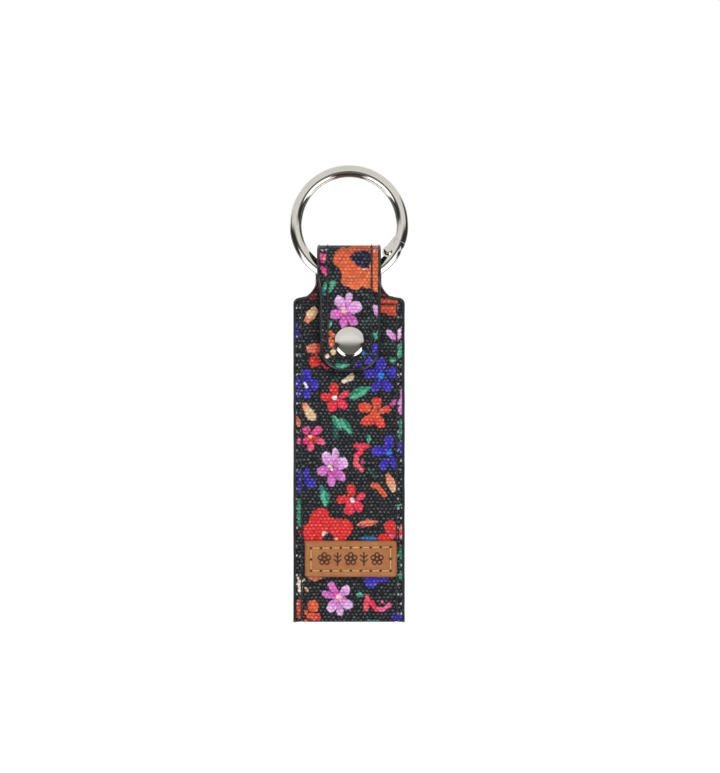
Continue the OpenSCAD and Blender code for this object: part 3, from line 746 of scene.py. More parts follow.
class Nodes:
    """A node tree, with a shorthand for maths between its nodes."""

    def __init__(self, tree):
        self.tree = tree

    def node(self, kind, **values):
        made = self.tree.nodes.new(kind)
        for key, value in values.items():
            setattr(made, key, value)
        return made

    def wire(self, value, socket):
        if isinstance(value, bpy.types.NodeSocket):
            self.tree.links.new(value, socket)
        else:
            socket.default_value = value

    def maths(self, operation, *values):
        made = self.node("ShaderNodeMath", operation=operation)
        for value, socket in zip(values, made.inputs):
            self.wire(value, socket)
        return made.outputs[0]

    def noise(self, scale, detail, where=None):
        made = self.node("ShaderNodeTexNoise")
        made.inputs["Scale"].default_value = scale
        made.inputs["Detail"].default_value = detail
        self.wire(where if where is not None else self.place(), made.inputs["Vector"])
        return made.outputs["Fac"]

    def place(self):
        return self.node("ShaderNodeTexCoord").outputs["Object"]

    def attribute(self, name, output):
        return self.node("ShaderNodeAttribute", attribute_name=name).outputs[output]

    def spread(self, value, low, high, start=0.0, end=1.0, ease="LINEAR"):
        """value, re-ranged from start..end to low..high."""
        made = self.node("ShaderNodeMapRange", interpolation_type=ease)
        for socket, number in zip(("From Min", "From Max", "To Min", "To Max"), (start, end, low, high)):
            made.inputs[socket].default_value = number
        self.wire(value, made.inputs["Value"])
        return made.outputs["Result"]

    def mix(self, amount, a, b, blend="MIX"):
        made = self.node("ShaderNodeMix", data_type="RGBA", blend_type=blend)
        self.wire(amount, made.inputs["Factor"])
        for value, socket in ((a, made.inputs[6]), (b, made.inputs[7])):
            self.wire(value if isinstance(value, bpy.types.NodeSocket) else (*value, 1), socket)
        return made.outputs[2]

    def tones(self, value, dark, light):
        """A colour from dark to light over the middle of a noise's range."""
        return self.mix(self.spread(value, 0.0, 1.0, 0.3, 0.7), dark, light)

    def bump(self, height, distance, strength):
        made = self.node("ShaderNodeBump")
        made.inputs["Strength"].default_value = strength
        made.inputs["Distance"].default_value = distance
        self.wire(height, made.inputs["Height"])
        return made.outputs["Normal"]


class Material(Nodes):
    """A new material's node tree."""

    def __init__(self, name):
        self.material = bpy.data.materials.new(name)
        self.material.use_nodes = True
        super().__init__(self.material.node_tree)
        self.shader = self.tree.nodes["Principled BSDF"]

    def finish(self, **sockets):
        for name, value in sockets.items():
            self.wire(value, self.shader.inputs[name.replace("_", " ")])
        return self.material


def canvas_material():
    n = Material("printed_canvas")
    cloth = n.node("ShaderNodeSeparateXYZ")
    n.wire(n.attribute("cloth", "Vector"), cloth.inputs[0])
    column = n.maths("DIVIDE", cloth.outputs[0], WARP)
    row = n.maths("DIVIDE", cloth.outputs[1], WEFT)
    row_floor = n.maths("FLOOR", row)
    across = n.maths("MULTIPLY_ADD", n.maths("SUBTRACT", row, row_floor), 2.0, -1.0)
    swing = n.maths("MULTIPLY", n.maths("ADD", n.maths("SUBTRACT", column, 0.5), row_floor), math.pi)
    crossing = n.maths("COSINE", swing)
    rounded = n.maths("SUBTRACT", 1.0, n.maths("MULTIPLY", across, across))
    # 1 on the crown of each weft float, 0 in the gaps round it
    float_width = n.spread(crossing, 0.0, 1.0, -0.75, 0.35)
    crown = n.maths("MULTIPLY", n.maths("MAXIMUM", rounded, 0.0), float_width)
    dash = n.maths("MULTIPLY", n.maths("POWER", n.maths("MAXIMUM", rounded, 0.0), 3.0), float_width)
    fibre = n.noise(2600.0, 4.0)
    soil = n.noise(90.0, 3.0)
    print_colour = n.attribute("print", "Color")
    # Painted shade: dark where a yarn turns down between its neighbours, more in some places than others
    depth = n.spread(n.maths("MULTIPLY_ADD", crossing, 0.36, rounded), 1.0, 0.0, 0.0, 0.9)
    crevice_shade = n.maths("MULTIPLY", depth, n.spread(n.noise(700.0, 3.0), 0.22, 0.64, 0.36, 0.64))
    brushed = n.mix(1.0, print_colour, n.spread(n.noise(420.0, 5.0), 0.82, 1.22, 0.34, 0.66), "MULTIPLY")
    gap = n.mix(crevice_shade, brushed, (0.006, 0.006, 0.008))
    # Painted highlight: a pale sheen added on the crown of each weft float, stronger in some patches than
    # others
    patchy = n.spread(n.noise(900.0, 3.0), 0.0, 0.17, 0.40, 0.66)
    wear_and_sheen = n.maths("MULTIPLY", dash, patchy)
    bright = n.mix(wear_and_sheen, gap, (0.92, 0.95, 1.0), "ADD")
    colour = n.mix(n.spread(soil, 0.0, 0.22, 0.35, 0.7), bright, (0.9, 0.9, 0.92), "MULTIPLY")
    relief = n.bump(n.maths("ADD", crown, n.maths("MULTIPLY", fibre, 0.5)), 0.00007, 0.8)
    # Smoother near the painted edge
    level = n.spread(n.attribute("from_edge", "Fac"), 0.26, 0.56, 0.6, 2.6)
    rough = n.maths("ADD", level, n.spread(fibre, -0.08, 0.12, 0.3, 0.7))
    return n.finish(
        Base_Color=colour, Roughness=rough, Normal=relief, Specular_IOR_Level=0.22, Sheen_Weight=0.04
    )


def paint_material():
    n = Material("edge_paint")
    fine = n.noise(900.0, 4.0)
    coarse = n.noise(160.0, 2.0)
    colour = n.tones(coarse, (0.008, 0.009, 0.012), (0.030, 0.032, 0.037))
    height = n.maths("ADD", fine, n.maths("MULTIPLY", coarse, 2.0))
    return n.finish(
        Base_Color=colour,
        Roughness=n.spread(fine, 0.24, 0.42, 0.3, 0.7),
        Normal=n.bump(height, 0.00009, 0.5),
        Coat_Weight=0.25,
    )


def thread_material(name, dark, light, rough):
    n = Material(name)
    fibre = n.noise(5200.0, 3.0)
    colour = n.tones(fibre, dark, light)
    return n.finish(
        Base_Color=colour, Roughness=rough, Normal=n.bump(fibre, 0.00003, 0.8), Sheen_Weight=0.2
    )


def leather_material():
    n = Material("leather")
    cells = n.node("ShaderNodeTexVoronoi", feature="DISTANCE_TO_EDGE")
    cells.inputs["Scale"].default_value = 1500.0
    n.wire(n.place(), cells.inputs["Vector"])
    grain = n.spread(cells.outputs["Distance"], 0.0, 1.0, 0.0, 0.25)
    mottle = n.noise(260.0, 4.0)
    fine = n.noise(3200.0, 4.0)
    base = n.tones(mottle, srgb(160, 102, 58), srgb(180, 122, 76))
    grained = n.mix(n.spread(grain, 0.35, 0.0), base, srgb(140, 84, 46))
    burnt = n.mix(n.attribute("burnish", "Fac"), grained, srgb(150, 84, 44))
    # Dark brown in the emblem's pressed lines, and painted shade in the stitch holes
    pressed = n.mix(n.attribute("pressed", "Fac"), burnt, srgb(58, 30, 24))
    height = n.maths("ADD", n.maths("MULTIPLY", grain, 0.7), n.maths("MULTIPLY", fine, 0.6))
    return n.finish(
        Base_Color=pressed,
        Roughness=n.spread(fine, 0.42, 0.62, 0.3, 0.7),
        Normal=n.bump(height, 0.00005, 0.7),
    )


def metal_material(name, colour, rough, wear_and_sheen):
    n = Material(name)
    stretch = n.node("ShaderNodeMapping")
    stretch.inputs["Scale"].default_value = (1.0, 1.0, 6.0)
    n.wire(n.place(), stretch.inputs["Vector"])
    scratches = n.noise(1400.0, 5.0, where=stretch.outputs["Vector"])
    smudge = n.noise(130.0, 3.0)
    tint = n.tones(smudge, colour, tuple(0.93 * c for c in colour))
    dull = n.spread(smudge, rough, rough + wear_and_sheen, 0.35, 0.7)
    gloss = n.maths("ADD", dull, n.spread(scratches, 0, 0.04, 0.4, 0.7))
    return n.finish(
        Base_Color=tint, Metallic=1.0, Roughness=gloss, Normal=n.bump(scratches, 0.000004, 0.3)
    )


def board_material():
    n = Material("stiffener")
    fibre = n.noise(1800.0, 5.0)
    colour = n.tones(fibre, (0.22, 0.22, 0.20), (0.34, 0.34, 0.31))
    return n.finish(Base_Color=colour, Roughness=0.85, Normal=n.bump(fibre, 0.00005, 0.8))


def floor_material():
    n = Material("floor")
    grain = n.noise(9.0, 2.0)
    return n.finish(Base_Color=n.mix(grain, (0.86, 0.86, 0.86), (0.90, 0.90, 0.90)), Roughness=0.8)


# ---- Camera, floor and light


def studio():
    """A level camera with a long lens, a pale floor well below, and a soft studio all round."""
    distance, view_height = 1.5, 0.2468
    aim_x, aim_z = 0.0035, -0.0518
    camera = bpy.data.objects.new("camera", bpy.data.cameras.new("camera"))
    camera.data.sensor_width = 36.0
    camera.data.lens = camera.data.sensor_width * distance / view_height
    camera.data.clip_start, camera.data.clip_end = 0.01, 60.0
    camera.location = (aim_x, -distance, aim_z)
    camera.rotation_euler = (math.pi / 2, 0, 0)
    bpy.context.scene.collection.objects.link(camera)
    bpy.context.scene.camera = camera

    size, floor_z = 1400.0, -340.0
    corners = [(x, y, floor_z) for x, y in ((-size, -size), (size, -size), (size, size), (-size, size))]
    floor = mesh_object("floor", corners, [[0, 1, 2, 3]], floor_material(), smooth=False)
    floor.visible_glossy = False


# What the metal sees: each lobe is (direction, cosine where it starts, cosine where it is full, brightness)
STUDIO_LOBES = [
    ((0.0, 0.0, 1.0), -0.09, 0.07, 0.76),
    ((0.0, -1.0, -0.3), 0.80, 0.97, 0.15),
    ((-0.54, -0.62, -0.57), 0.945, 0.963, 1.6),
    ((0.54, -0.62, -0.57), 0.945, 0.963, 1.6),
    ((-0.60, -0.20, -0.77), 0.925, 0.945, 1.6),
    ((0.60, -0.20, -0.77), 0.925, 0.945, 1.6),
    ((-0.60, 0.30, -0.77), 0.94, 0.96, 1.6),
    ((0.60, 0.30, -0.77), 0.94, 0.96, 1.6),
    ((0.0, 1.0, 0.0), 0.30, 0.60, 0.30),
    ((1.0, 0.08, 0.0), 0.82, 0.92, -0.70),
    ((-1.0, 0.0, 0.0), 0.965, 0.985, -0.60),
]


def world_light():
    world = bpy.data.worlds.new("studio")
    bpy.context.scene.world = world
    world.use_nodes = True
    world.node_tree.nodes.clear()
    n = Nodes(world.node_tree)
    direction = n.node("ShaderNodeTexCoord").outputs["Generated"]
    total = 0.0
    for axis, start, full, strength in STUDIO_LOBES:
        dot = n.node("ShaderNodeVectorMath", operation="DOT_PRODUCT")
        n.wire(direction, dot.inputs[0])
        n.wire(Vector(axis).normalized(), dot.inputs[1])
        lobe = n.spread(dot.outputs["Value"], 0.0, strength, start, full, "SMOOTHSTEP")
        total = n.maths("ADD", total, lobe)
    darkest, soft_level, seen_level = 0.035, 0.28, 1.05
    reflected = n.maths("MAXIMUM", total, darkest)
    rays = n.node("ShaderNodeLightPath")

    def background(colour, strength):
        made = n.node("ShaderNodeBackground")
        n.wire((*colour, 1), made.inputs["Color"])
        n.wire(strength, made.inputs["Strength"])
        return made.outputs[0]

    def choose(ray, otherwise, shader):
        made = n.node("ShaderNodeMixShader")
        for value, socket in zip((rays.outputs[ray], otherwise, shader), made.inputs):
            n.wire(value, socket)
        return made.outputs[0]

    soft = background((1, 1, 1), soft_level)
    shiny = choose("Is Glossy Ray", soft, background((1.0, 1.0, 0.97), reflected))
    seen = choose("Is Camera Ray", shiny, background((1, 1, 1), seen_level))
    n.wire(seen, n.node("ShaderNodeOutputWorld").inputs["Surface"])


def area_light(name, place, target, size, power):
    """A soft light aimed at target. Lengths are in metres, power in watts."""
    light = bpy.data.lights.new(name, "AREA")
    light.shape, light.size, light.size_y, light.energy = "RECTANGLE", size[0], size[1], power
    made = bpy.data.objects.new(name, light)
    made.location = place
    made.rotation_euler = (Vector(target) - Vector(place)).to_track_quat("-Z", "Y").to_euler()
    made.visible_camera = False
    made.visible_glossy = False
    bpy.context.scene.collection.objects.link(made)


studio()
world_light()
area_light("key", (0.45, -1.15, 0.55), (0, 0, -0.06), (0.5, 0.4), 12)
area_light("fill", (-0.7, -1.1, -0.1), (0, 0, -0.06), (0.6, 0.9), 3.6)
area_light("back", (0.1, 1.1, 0.4), (0, 0, -0.05), (0.9, 0.6), 12)
bpy.context.scene.view_settings.view_transform = "Standard"

CANVAS = canvas_material()
PAINT = paint_material()
BLACK_THREAD = thread_material("black_thread", (0.004, 0.004, 0.005), (0.035, 0.036, 0.04), 0.55)
TAN_THREAD = thread_material("tan_thread", srgb(184, 126, 72), srgb(238, 196, 140), 0.5)
LEATHER = leather_material()
NICKEL = metal_material("nickel", (0.82, 0.80, 0.75), 0.05, 0.06)
STEEL = metal_material("spring_steel", (0.56, 0.56, 0.55), 0.22, 0.1)
BOARD = board_material()

# ---- Rows of stitches: where the thread runs

BODY_SEAM_X = BODY_HALF - 2.6
BODY_SEAM_TOP = SHOULDER_Z - 2.2
FLAP_SEAM_L, FLAP_SEAM_R = -6.8, 7.2
FLAP_SEAM_R_BEND = FLAP_CORNER_R - 2.6
FLAP_SEAM_END = FLAP_END + 2.6


def body_seam_distance(x, v):
    """Distance from the rows down both sides of the body and across its shoulders."""
    down = np.hypot(np.abs(x) - BODY_SEAM_X, np.maximum(0, v - BODY_SEAM_TOP))
    over = np.hypot(v - BODY_SEAM_TOP, np.maximum(0, np.abs(x) - BODY_SEAM_X))
    return np.minimum(down, over)


def flap_seam_distance(x, v):
    """Distance from the row that runs down one side of the flap, round its end and up the other."""
    middle_x, half = (FLAP_SEAM_L + FLAP_SEAM_R) / 2, (FLAP_SEAM_R - FLAP_SEAM_L) / 2
    dx = np.abs(x - middle_x) - (half - FLAP_SEAM_R_BEND)
    dv = FLAP_SEAM_END + FLAP_SEAM_R_BEND - v
    rounded = np.hypot(np.maximum(dx, 0), np.maximum(dv, 0)) - FLAP_SEAM_R_BEND
    return np.abs(np.where(dv < 0, dx - FLAP_SEAM_R_BEND, rounded))


def on_cloth(face, x, v):
    """Point and outward direction on the outer or inner face of the strap, at x and v."""
    x, v = np.asarray(x, float), np.asarray(v, float)
    s = v - FLAP_END if face == "outer" else BODY_BOTTOM + STRAP_LENGTH - v
    centre, out = middle(s)
    out = out if face == "outer" else -out
    reach = HALF_T - CLOTH_SINK
    point = np.stack([x, centre[..., 0] + out[..., 0] * reach, centre[..., 1] + out[..., 1] * reach], -1)
    return point, np.stack([0 * x, out[..., 0], out[..., 1]], -1)


def even_points(points, pitch):
    """Points along a line at an even pitch near the one given, both ends kept."""
    points = np.array(points, float)
    along = np.concatenate([[0], np.cumsum(np.linalg.norm(np.diff(points, axis=0), axis=1))])
    at = np.linspace(0, along[-1], max(2, round(along[-1] / pitch) + 1))
    return np.stack([np.interp(at, along, points[:, k]) for k in range(points.shape[1])], 1)


def thread_loops(name, runs, radius, rise, material, gap=0.14):
    """Stitches of two-ply thread. runs is a list of (surface function, points in its own coordinates)."""
    sides, rings = 10, 11
    sunk, arch = 0.42, 0.42  # how deep a stitch's ends lie in the cloth, and how square its arch is
    ply_pitch = 1.5
    points, faces = [], []
    for surface, holes in runs:
        for a, b in zip(holes, holes[1:]):
            u = np.linspace(0, 1, rings)
            length = np.linalg.norm(b - a)
            shorten = gap / length
            along = a + (b - a) * (shorten + (1 - 2 * shorten) * u)[:, None]
            base, out = surface(along[:, 0], along[:, 1])
            lift = -sunk + (rise + sunk) * np.sin(math.pi * u) ** arch
            line = base + out * lift[:, None]
            ahead = np.gradient(line, axis=0)
            ahead /= np.linalg.norm(ahead, axis=1, keepdims=True)
            side = np.cross(ahead, out)
            side /= np.linalg.norm(side, axis=1, keepdims=True)
            up = np.cross(side, ahead)
            angle = np.linspace(0, 2 * math.pi, sides, endpoint=False)
            twist = 2 * math.pi * length * u / ply_pitch
            lobes = 0.80 + 0.20 * np.cos(2 * (angle[None, :] - twist[:, None]))
            close = np.sqrt(np.clip(1 - (2 * u - 1) ** 8, 0.06, 1))
            size = radius * lobes * close[:, None]
            ring = (
                line[:, None]
                + side[:, None] * (np.cos(angle) * size)[..., None]
                + up[:, None] * (np.sin(angle) * size)[..., None]
            )
            first = sum(len(p) for p in points)
            points.append(ring.reshape(-1, 3))
            faces += tube_faces(rings, sides, first)
    return mesh_object(name, np.concatenate(points), faces, material)


# ---- The painted edge


def edge_bead(name, path, seed):
    """A bead over the strap's cut edge, along path: rows of (x, s, outward x, outward s)."""
    profile_turn = np.radians(np.arange(-90, 91, 15))
    corner = 0.85
    knot_every = 6  # path points from one change of shape to the next
    outer = [
        (-corner + corner * math.cos(a), (HALF_T + EDGE_SWELL - corner) * np.sign(a) + corner * math.sin(a))
        for a in profile_turn
    ]
    lip, tuck = HALF_T + EDGE_SWELL * 0.6, 0.12
    back = [(-RIM, lip), (-RIM - tuck, HALF_T - tuck), (-RIM - tuck, -HALF_T + tuck), (-RIM, -lip)]
    profile = np.array(outer + back)
    random = np.random.default_rng(seed)
    along = np.arange(len(path))
    knots = random.uniform(-1, 1, (3, len(path) // knot_every + 3))
    uneven = [np.interp(along / knot_every, np.arange(knots.shape[1]), k) for k in knots]
    points = []
    for k, (x, s, out_x, out_s) in enumerate(path):
        over = max(0.0, s - STRAP_LENGTH)
        flat = math.sqrt(max(0.02, 1 - (over / (HALF_T + EDGE_SWELL)) ** 2))
        wide = 1 + 0.05 * uneven[0][k]
        reach = profile[:, 0] * wide + 0.04 * uneven[1][k]
        t = profile[:, 1] * flat * (1 + 0.03 * uneven[2][k])
        at = np.minimum(s + reach * out_s, STRAP_LENGTH)
        beyond = s + reach * out_s - at
        centre, out = middle(at)
        ahead = np.stack([out[:, 1], -out[:, 0]], 1)
        yz = centre + out * t[:, None] + ahead * beyond[:, None]
        points.append(np.c_[x + reach * out_x, yz])
    return mesh_object(name, np.concatenate(points), tube_faces(len(path), len(profile)), PAINT)


def with_normals(path):
    """Adds the outward direction to a path in x and s that has the strap on its left."""
    path = np.array(path, float)
    ahead = np.gradient(path, axis=0)
    ahead /= np.linalg.norm(ahead, axis=1, keepdims=True)
    return np.c_[path, ahead[:, 1], -ahead[:, 0]]


def arc_points(x, s, radius, start, end, step=6):
    turn = np.radians(np.linspace(start, end, max(3, int(abs(end - start) / step) + 1)))
    return [(x + radius * math.cos(a), s + radius * math.sin(a)) for a in turn]


def line_points(x0, s0, x1, s1, step=0.7):
    count = max(2, int(math.hypot(x1 - x0, s1 - s0) / step) + 1)
    return [(x0 + (x1 - x0) * k / (count - 1), s0 + (s1 - s0) * k / (count - 1)) for k in range(count)]


def without_repeats(path):
    path = np.array(path, float)
    keep = np.r_[True, np.linalg.norm(np.diff(path, axis=0), axis=1) > 0.05]
    return path[keep]


def side_path(side, start, end):
    """The strap's edge on one side between two values of s, where it has no corner."""
    s = np.linspace(start, end, max(2, int(abs(end - start) / 0.5) + 1))
    left, right = edges(s)
    x = right if side > 0 else left
    return list(zip(x, s))


def body_edge(side):
    """From the fold down the neck, round the shoulder and down the body, over the bottom fold."""
    shoulder = s_where(1, SHOULDER_Z)
    fillet_top = s_where(1, SHOULDER_Z + FILLET_R)
    neck = NECK_R if side > 0 else -NECK_L
    path = side_path(side, FOLD_TO, fillet_top)
    hollow = [(neck + FILLET_R * (1 - math.cos(a)), fillet_top + (shoulder - fillet_top) * math.sin(a))
              for a in np.radians(np.arange(6, 91, 7))]
    corner = arc_points(BODY_HALF - CORNER_R, shoulder + CORNER_R, CORNER_R, -90, 0, 10)
    down = line_points(BODY_HALF, shoulder + CORNER_R, BODY_HALF, STRAP_LENGTH + HALF_T - 0.12, 0.5)
    path += [(side * x, s) for x, s in hollow + corner + down]
    path = without_repeats(path)
    return with_normals(path if side > 0 else path[::-1])


def flap_edge():
    """Down one side of the flap, round its end and up the other."""
    r = FLAP_CORNER_R
    path = side_path(1, FOLD_FROM, r + 0.3)
    path += arc_points(FLAP_R - r, r, r, 0, -90)
    path += line_points(FLAP_R - r, 0.0, FLAP_L + r, 0.0)
    path += arc_points(FLAP_L + r, r, r, -90, -180)
    path += side_path(-1, r + 0.3, FOLD_FROM)
    return with_normals(without_repeats(path)[::-1])


def make_edges():
    for side, word in ((-1, "left"), (1, "right")):
        body = edge_bead(f"edge_paint_body_{word}", body_edge(side), 3 + side)
        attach(body, "fob")
        path = side_path(side, FOLD_FROM, FOLD_TO)
        path = with_normals(path if side > 0 else path[::-1])
        fold = edge_bead(f"edge_paint_fold_{word}", path, 7 + side)
        bend_over_fold(fold)
        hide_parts("fold_edge_paint")
        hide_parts("fob_edge_paint")
    flap = edge_bead("edge_paint_flap", flap_edge(), 11)
    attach(flap, "flap")
    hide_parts("flap_edge_paint")


def bend_over_fold(piece):
    """Bakes the placement of a piece over the ring into its own mesh."""
    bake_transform(piece)


# ---- Canvas


def make_canvas():
    pitch = WEFT / 5
    down_body = steps(FOLD_TO, STRAP_LENGTH, pitch)
    fold = bottom_rows(17)
    front_rows = fold.join(inner_rows(down_body[::-1][1:]))
    front = canvas("canvas_front", front_rows, FRONT_COLUMNS, [body_seam_distance], paint_front)
    back_rows = outer_rows(steps(FOLD_TO, STRAP_LENGTH, WEFT / 4))
    top = BODY_BOTTOM + STRAP_LENGTH + FLAP_END

    def back_seam(x, v):
        return body_seam_distance(x, top - v)

    back = canvas("canvas_back", back_rows, BACK_COLUMNS, [back_seam], paint_scattered)
    for piece in (front, back):
        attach(piece, "fob")
    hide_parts("fob_canvas")
    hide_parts("fob_canvas")

    flap_s = steps(0.35, FOLD_FROM, pitch)
    seam = [flap_seam_distance]
    flap_front = canvas("canvas_flap", outer_rows(flap_s), STRAP_COLUMNS, seam, paint_flap)
    flap_inner = inner_rows(flap_s[::-1])
    lining = canvas("canvas_flap_lining", flap_inner, STRAP_COLUMNS, [], paint_scattered)
    for piece in (flap_front, lining):
        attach(piece, "flap")
    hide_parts("flap_canvas")
    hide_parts("flap_lining")

    over = steps(FOLD_FROM, FOLD_TO, pitch)
    fold_outer = canvas("canvas_fold", outer_rows(over), STRAP_COLUMNS, seam, paint_flap)
    over_inner = inner_rows(over[::-1])
    fold_inner = canvas("canvas_fold_lining", over_inner, STRAP_COLUMNS, [], paint_scattered)
    for piece in (fold_outer, fold_inner):
        bend_over_fold(piece)
    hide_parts("fold_canvas")
    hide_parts("loop_lining")


def make_fold_board():
    """The stiffener where it bends over the ring."""
    s = steps(FOLD_FROM, FOLD_TO, 0.5)
    centre, out = middle(s)
    half = STRAP_HALF - RIM
    thick = HALF_T - CANVAS_T - 0.02
    corners = [(-half, thick), (half, thick), (half, -thick), (-half, -thick)]
    points = [(x, *(centre[k] + out[k] * t)) for k in range(len(s)) for x, t in corners]
    board = mesh_object("stiffener_fold", points, tube_faces(len(s), 4), BOARD, smooth=False)
    bend_over_fold(board)
    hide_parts("fold_stiffener")


# ---- Stitches


def make_stitches():
    def inner(x, v):
        return on_cloth("inner", x, v)

    def outer(x, v):
        return on_cloth("outer", x, v)

    def sewn(face, runs):
        return [(face, even_points(run, STITCH_PITCH)) for run in runs]

    turn = BODY_BOTTOM + STRAP_LENGTH + FLAP_END
    low = BODY_BOTTOM + 0.1
    down = [(-BODY_SEAM_X, low), (-BODY_SEAM_X, BODY_SEAM_TOP)]
    over = [(-BODY_SEAM_X, BODY_SEAM_TOP), (BODY_SEAM_X, BODY_SEAM_TOP)]
    up = [(BODY_SEAM_X, BODY_SEAM_TOP), (BODY_SEAM_X, low)]
    front = sewn(inner, [down, over, up])
    back = sewn(outer, [[(x, turn - v) for x, v in run] for run in (down, over, up)])
    body = thread_loops("stitches_body", front + back, THREAD_R, THREAD_RISE, BLACK_THREAD)
    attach(body, "fob")
    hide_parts("fob_stitching")

    bend = FLAP_SEAM_R_BEND
    fold_v = FLAP_END + FOLD_FROM
    path = [(FLAP_SEAM_L, fold_v), (FLAP_SEAM_L, FLAP_SEAM_END + bend)]
    path += arc_points(FLAP_SEAM_L + bend, FLAP_SEAM_END + bend, bend, 180, 270, 10)[1:]
    path += arc_points(FLAP_SEAM_R - bend, FLAP_SEAM_END + bend, bend, 270, 360, 10)
    path += [(FLAP_SEAM_R, fold_v)]
    flap = thread_loops("stitches_flap", sewn(outer, [path]), THREAD_R, THREAD_RISE, BLACK_THREAD)
    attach(flap, "flap")
    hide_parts("flap_stitching")

    end_v = FLAP_END + FOLD_TO
    runs = sewn(outer, [[(x, fold_v), (x, end_v)] for x in (FLAP_SEAM_L, FLAP_SEAM_R)])
    fold = thread_loops("stitches_fold", runs, THREAD_R, THREAD_RISE + 0.02, BLACK_THREAD)
    bend_over_fold(fold)
    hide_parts("fold_stitching")

    neck_v = turn - BODY_SEAM_TOP
    runs = sewn(outer, [[(x, end_v), (x, neck_v)] for x in (FLAP_SEAM_L, FLAP_SEAM_R)])
    neck = thread_loops("stitches_neck", runs, THREAD_R, THREAD_RISE, BLACK_THREAD)
    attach(neck, "fob")


# ---- Leather patch

PATCH_HALF_W = (patch_high[0] - patch_low[0]) / 2
PATCH_HALF_H = (patch_high[2] - patch_low[2]) / 2
PATCH_R = 1.0
PATCH_SEAM = 2.0


def rounded_square(a, b):
    """A square's corner bent to a round one: elliptical map of 0..1 by 0..1."""
    return a * np.sqrt(1 - b**2 / 2), b * np.sqrt(1 - a**2 / 2)


def motif_depth(x, z):
    """1 in the pressed lines of the patch's emblem, a row of sprigs and flowers, and 0 outside them."""
    line_half, soft = 0.22, 0.1
    heart_r, petal_r, petal_out = 0.55, 0.66, 1.32
    lines = []

    def ring(cx, cz, radius):
        lines.append(np.abs(np.hypot(x - cx, z - cz) - radius))

    for cx in (-8.4, 0.0, 8.4):
        ring(cx, 0, heart_r)
        for k in range(5):
            a = math.radians(90 + 72 * k)
            ring(cx + petal_out * math.cos(a), petal_out * math.sin(a), petal_r)
    for cx in (-4.2, 4.2):
        lines.append(to_segment(x, z, (cx, -2.0), (cx, 2.0)))
        for z0 in (-1.1, 0.3):
            for side in (-1, 1):
                lines.append(to_segment(x, z, (cx, z0), (cx + side * 1.1, z0 + 0.9)))
    return np.clip((line_half - np.minimum.reduce(lines)) / soft + 0.5, 0, 1)


def patch_seam():
    """The holes of the patch's stitching, clockwise from its top left, in x and z about its centre."""
    w, h = PATCH_HALF_W - PATCH_SEAM, PATCH_HALF_H - PATCH_SEAM
    sides = [[(-w, h - 0.4), (w, h)], [(w, h), (w, -h)], [(w, -h), (-w, -h)], [(-w, -h), (-w, h - 0.4)]]
    return [even_points(side, 3.1) for side in sides]


def make_patch():
    step = 0.16
    columns, rows = int(2 * PATCH_HALF_W / step), int(2 * PATCH_HALF_H / step)
    gx, gz = np.meshgrid(np.linspace(-1, 1, columns) * PATCH_HALF_W, np.linspace(-1, 1, rows) * PATCH_HALF_H)
    in_x, in_z = PATCH_HALF_W - PATCH_R, PATCH_HALF_H - PATCH_R
    a = np.clip((np.abs(gx) - in_x) / PATCH_R, 0, 1)
    b = np.clip((np.abs(gz) - in_z) / PATCH_R, 0, 1)
    ra, rb = rounded_square(a, b)
    x = np.sign(gx) * (np.minimum(np.abs(gx), in_x) + PATCH_R * ra)
    z = np.sign(gz) * (np.minimum(np.abs(gz), in_z) + PATCH_R * rb)
    inside = np.minimum(PATCH_HALF_W - np.abs(gx), PATCH_HALF_H - np.abs(gz))

    edge_r = 0.4
    fall = np.clip(edge_r - inside, 0, edge_r)
    height = -(edge_r - np.sqrt(edge_r**2 - fall**2))
    seam = patch_seam()
    groove = np.minimum.reduce([to_segment(x, z, side[0], side[-1]) for side in seam])
    hole_long = 1.25
    holes = np.concatenate(seam)
    hole = np.minimum.reduce([np.hypot((x - hx) / hole_long, z - hz) for hx, hz in holes])
    pressed = motif_depth(x, z)
    groove_depth, hole_depth, press_depth, lip_rise, wave_rise = 0.10, 0.34, 0.13, 0.05, 0.02
    height -= groove_depth * np.exp(-((groove / 0.45) ** 2))
    height -= hole_depth * np.exp(-((hole / 0.32) ** 4))
    height -= press_depth * pressed
    height += lip_rise * np.exp(-(((inside - 0.9) / 0.5) ** 2))
    height += wave_rise * np.sin(1.7 * x + 0.6 * z) * np.sin(1.1 * z - 0.5 * x)

    top = patch_low[1] - height
    bottom = patch_high[1] + 0.05
    face = np.stack([x + PATCH_X, top, z + PATCH_Z], -1)
    rim = [(0, k) for k in range(columns)] + [(j, columns - 1) for j in range(1, rows)]
    rim += [(rows - 1, k) for k in range(columns - 2, -1, -1)] + [(j, 0) for j in range(rows - 2, 0, -1)]
    under = np.array([[x[r] + PATCH_X, bottom, z[r] + PATCH_Z] for r in rim])
    points = np.concatenate([face.reshape(-1, 3), under])
    total, loop = rows * columns, len(rim)
    faces = grid_faces(rows, columns)
    for k in range(loop):
        n = (k + 1) % loop
        p, q = rim[k][0] * columns + rim[k][1], rim[n][0] * columns + rim[n][1]
        faces.append([p, total + k, total + n, q])
    faces.append([total + k for k in range(loop)])
    patch = mesh_object("patch_leather", points, faces, LEATHER)
    # Darker in the pressed lines of the emblem, and painted shade in the stitch holes
    dark = np.maximum(pressed, np.exp(-((hole / 0.38) ** 4)))
    burnish = np.clip(1 - inside / 0.8, 0, 1) * 0.7
    point_numbers(patch, "pressed", np.r_[dark.ravel(), np.zeros(loop)])
    point_numbers(patch, "burnish", np.r_[burnish.ravel(), np.ones(loop)])
    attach(patch, "fob")
    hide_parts("leather_patch")

    def on_patch(px, pz):
        point = np.stack([px + PATCH_X, 0 * px + patch_low[1] + 0.08, pz + PATCH_Z], -1)
        return point, np.stack([0 * px, 0 * px - 1, 0 * px], -1)

    thread = thread_loops(
        "stitches_patch", [(on_patch, side) for side in seam], 0.24, 0.20, TAN_THREAD, gap=0.34
    )
    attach(thread, "fob")
    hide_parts("patch_stitching")


# ---- Metal


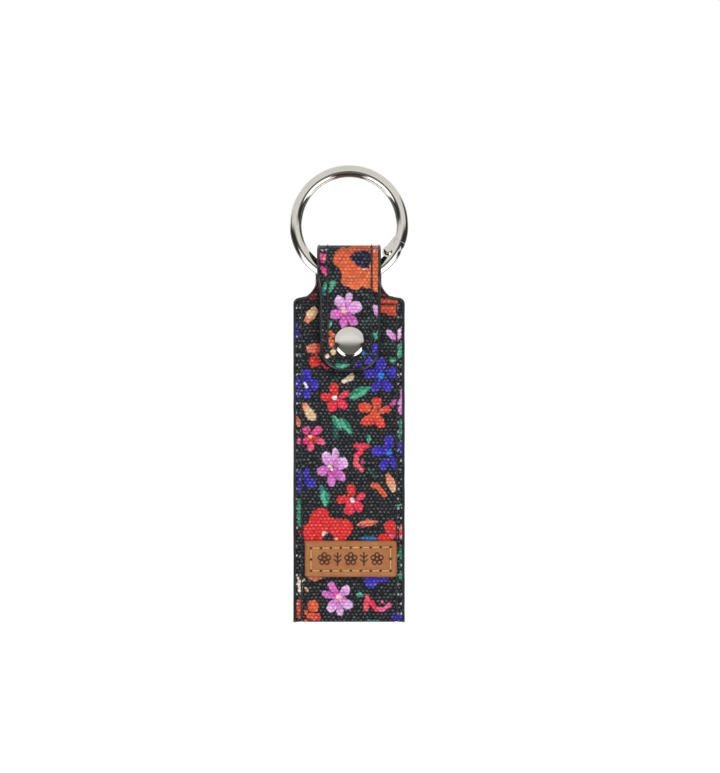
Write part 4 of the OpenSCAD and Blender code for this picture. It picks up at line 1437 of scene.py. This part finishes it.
def turned(name, profile, sides, material):
    """A turned piece on the snap's axis, from pairs of (radius, distance in front of the ring's plane).
    A radius of 0 at either end closes it."""
    profile = np.array(profile, float)
    angle = np.linspace(0, 2 * math.pi, sides, endpoint=False)
    inner = profile[1:-1]
    ring = np.stack(
        [
            SNAP_X + inner[:, :1] * np.cos(angle),
            -inner[:, 1:] + 0 * angle,
            SNAP_Z + inner[:, :1] * np.sin(angle),
        ],
        -1,
    )
    points = np.concatenate(
        [ring.reshape(-1, 3), [[SNAP_X, -profile[0, 1], SNAP_Z], [SNAP_X, -profile[-1, 1], SNAP_Z]]]
    )
    faces = []
    for k in range(len(inner) - 1):
        for m in range(sides):
            n = (m + 1) % sides
            faces.append([k * sides + m, k * sides + sides + m, k * sides + sides + n, k * sides + n])
    first, last = len(inner) * sides, len(inner) * sides + 1
    for m in range(sides):
        n = (m + 1) % sides
        faces.append([first, m, n])
        faces.append([last, (len(inner) - 1) * sides + n, (len(inner) - 1) * sides + m])
    return mesh_object(name, points, faces, material)


def make_cap():
    """The snap's cap: a dome that turns down at its rim, over a small rounded edge and a flat underside."""
    face = FLAP_INNER + STRAP_T
    radius, rim_r = (cap_high[0] - cap_low[0]) / 2, 0.2
    dome_r, dome_from, dome_rise = radius - 0.03, 0.34, 0.98
    under = face + 0.02
    profile = [(0.0, face + dome_from + dome_rise)]
    for k in range(1, 41):
        u = k / 40
        profile.append((dome_r * u, face + dome_from + dome_rise * (1 - 0.35 * u**2 - 0.65 * u**8)))
    for a in np.radians(np.arange(40, -91, -20)):
        profile.append((radius - rim_r + rim_r * math.cos(a), under + rim_r + rim_r * math.sin(a)))
    profile.append((radius - rim_r - 0.5, under))
    profile.append((0.0, under))
    cap = turned("cap_dome", profile[::-1], 128, NICKEL)
    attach(cap, "flap")
    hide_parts("snap_cap")


def finish_cad(nodes, material):
    """A carried-over CAD piece keeps its shape and takes a finish."""
    for name in nodes:
        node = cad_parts[name]
        for slot in node.material_slots:
            slot.material = material


make_canvas()
make_fold_board()
make_edges()
make_stitches()
make_patch()
make_cap()
finish_cad(
    ["ring_body", "ring_gate", "gate_pin", "snap_socket", "snap_stud", "snap_rivet"], NICKEL
)
finish_cad(["gate_spring", "socket_spring"], STEEL)
finish_cad(["fob_stiffener", "flap_stiffener"], BOARD)
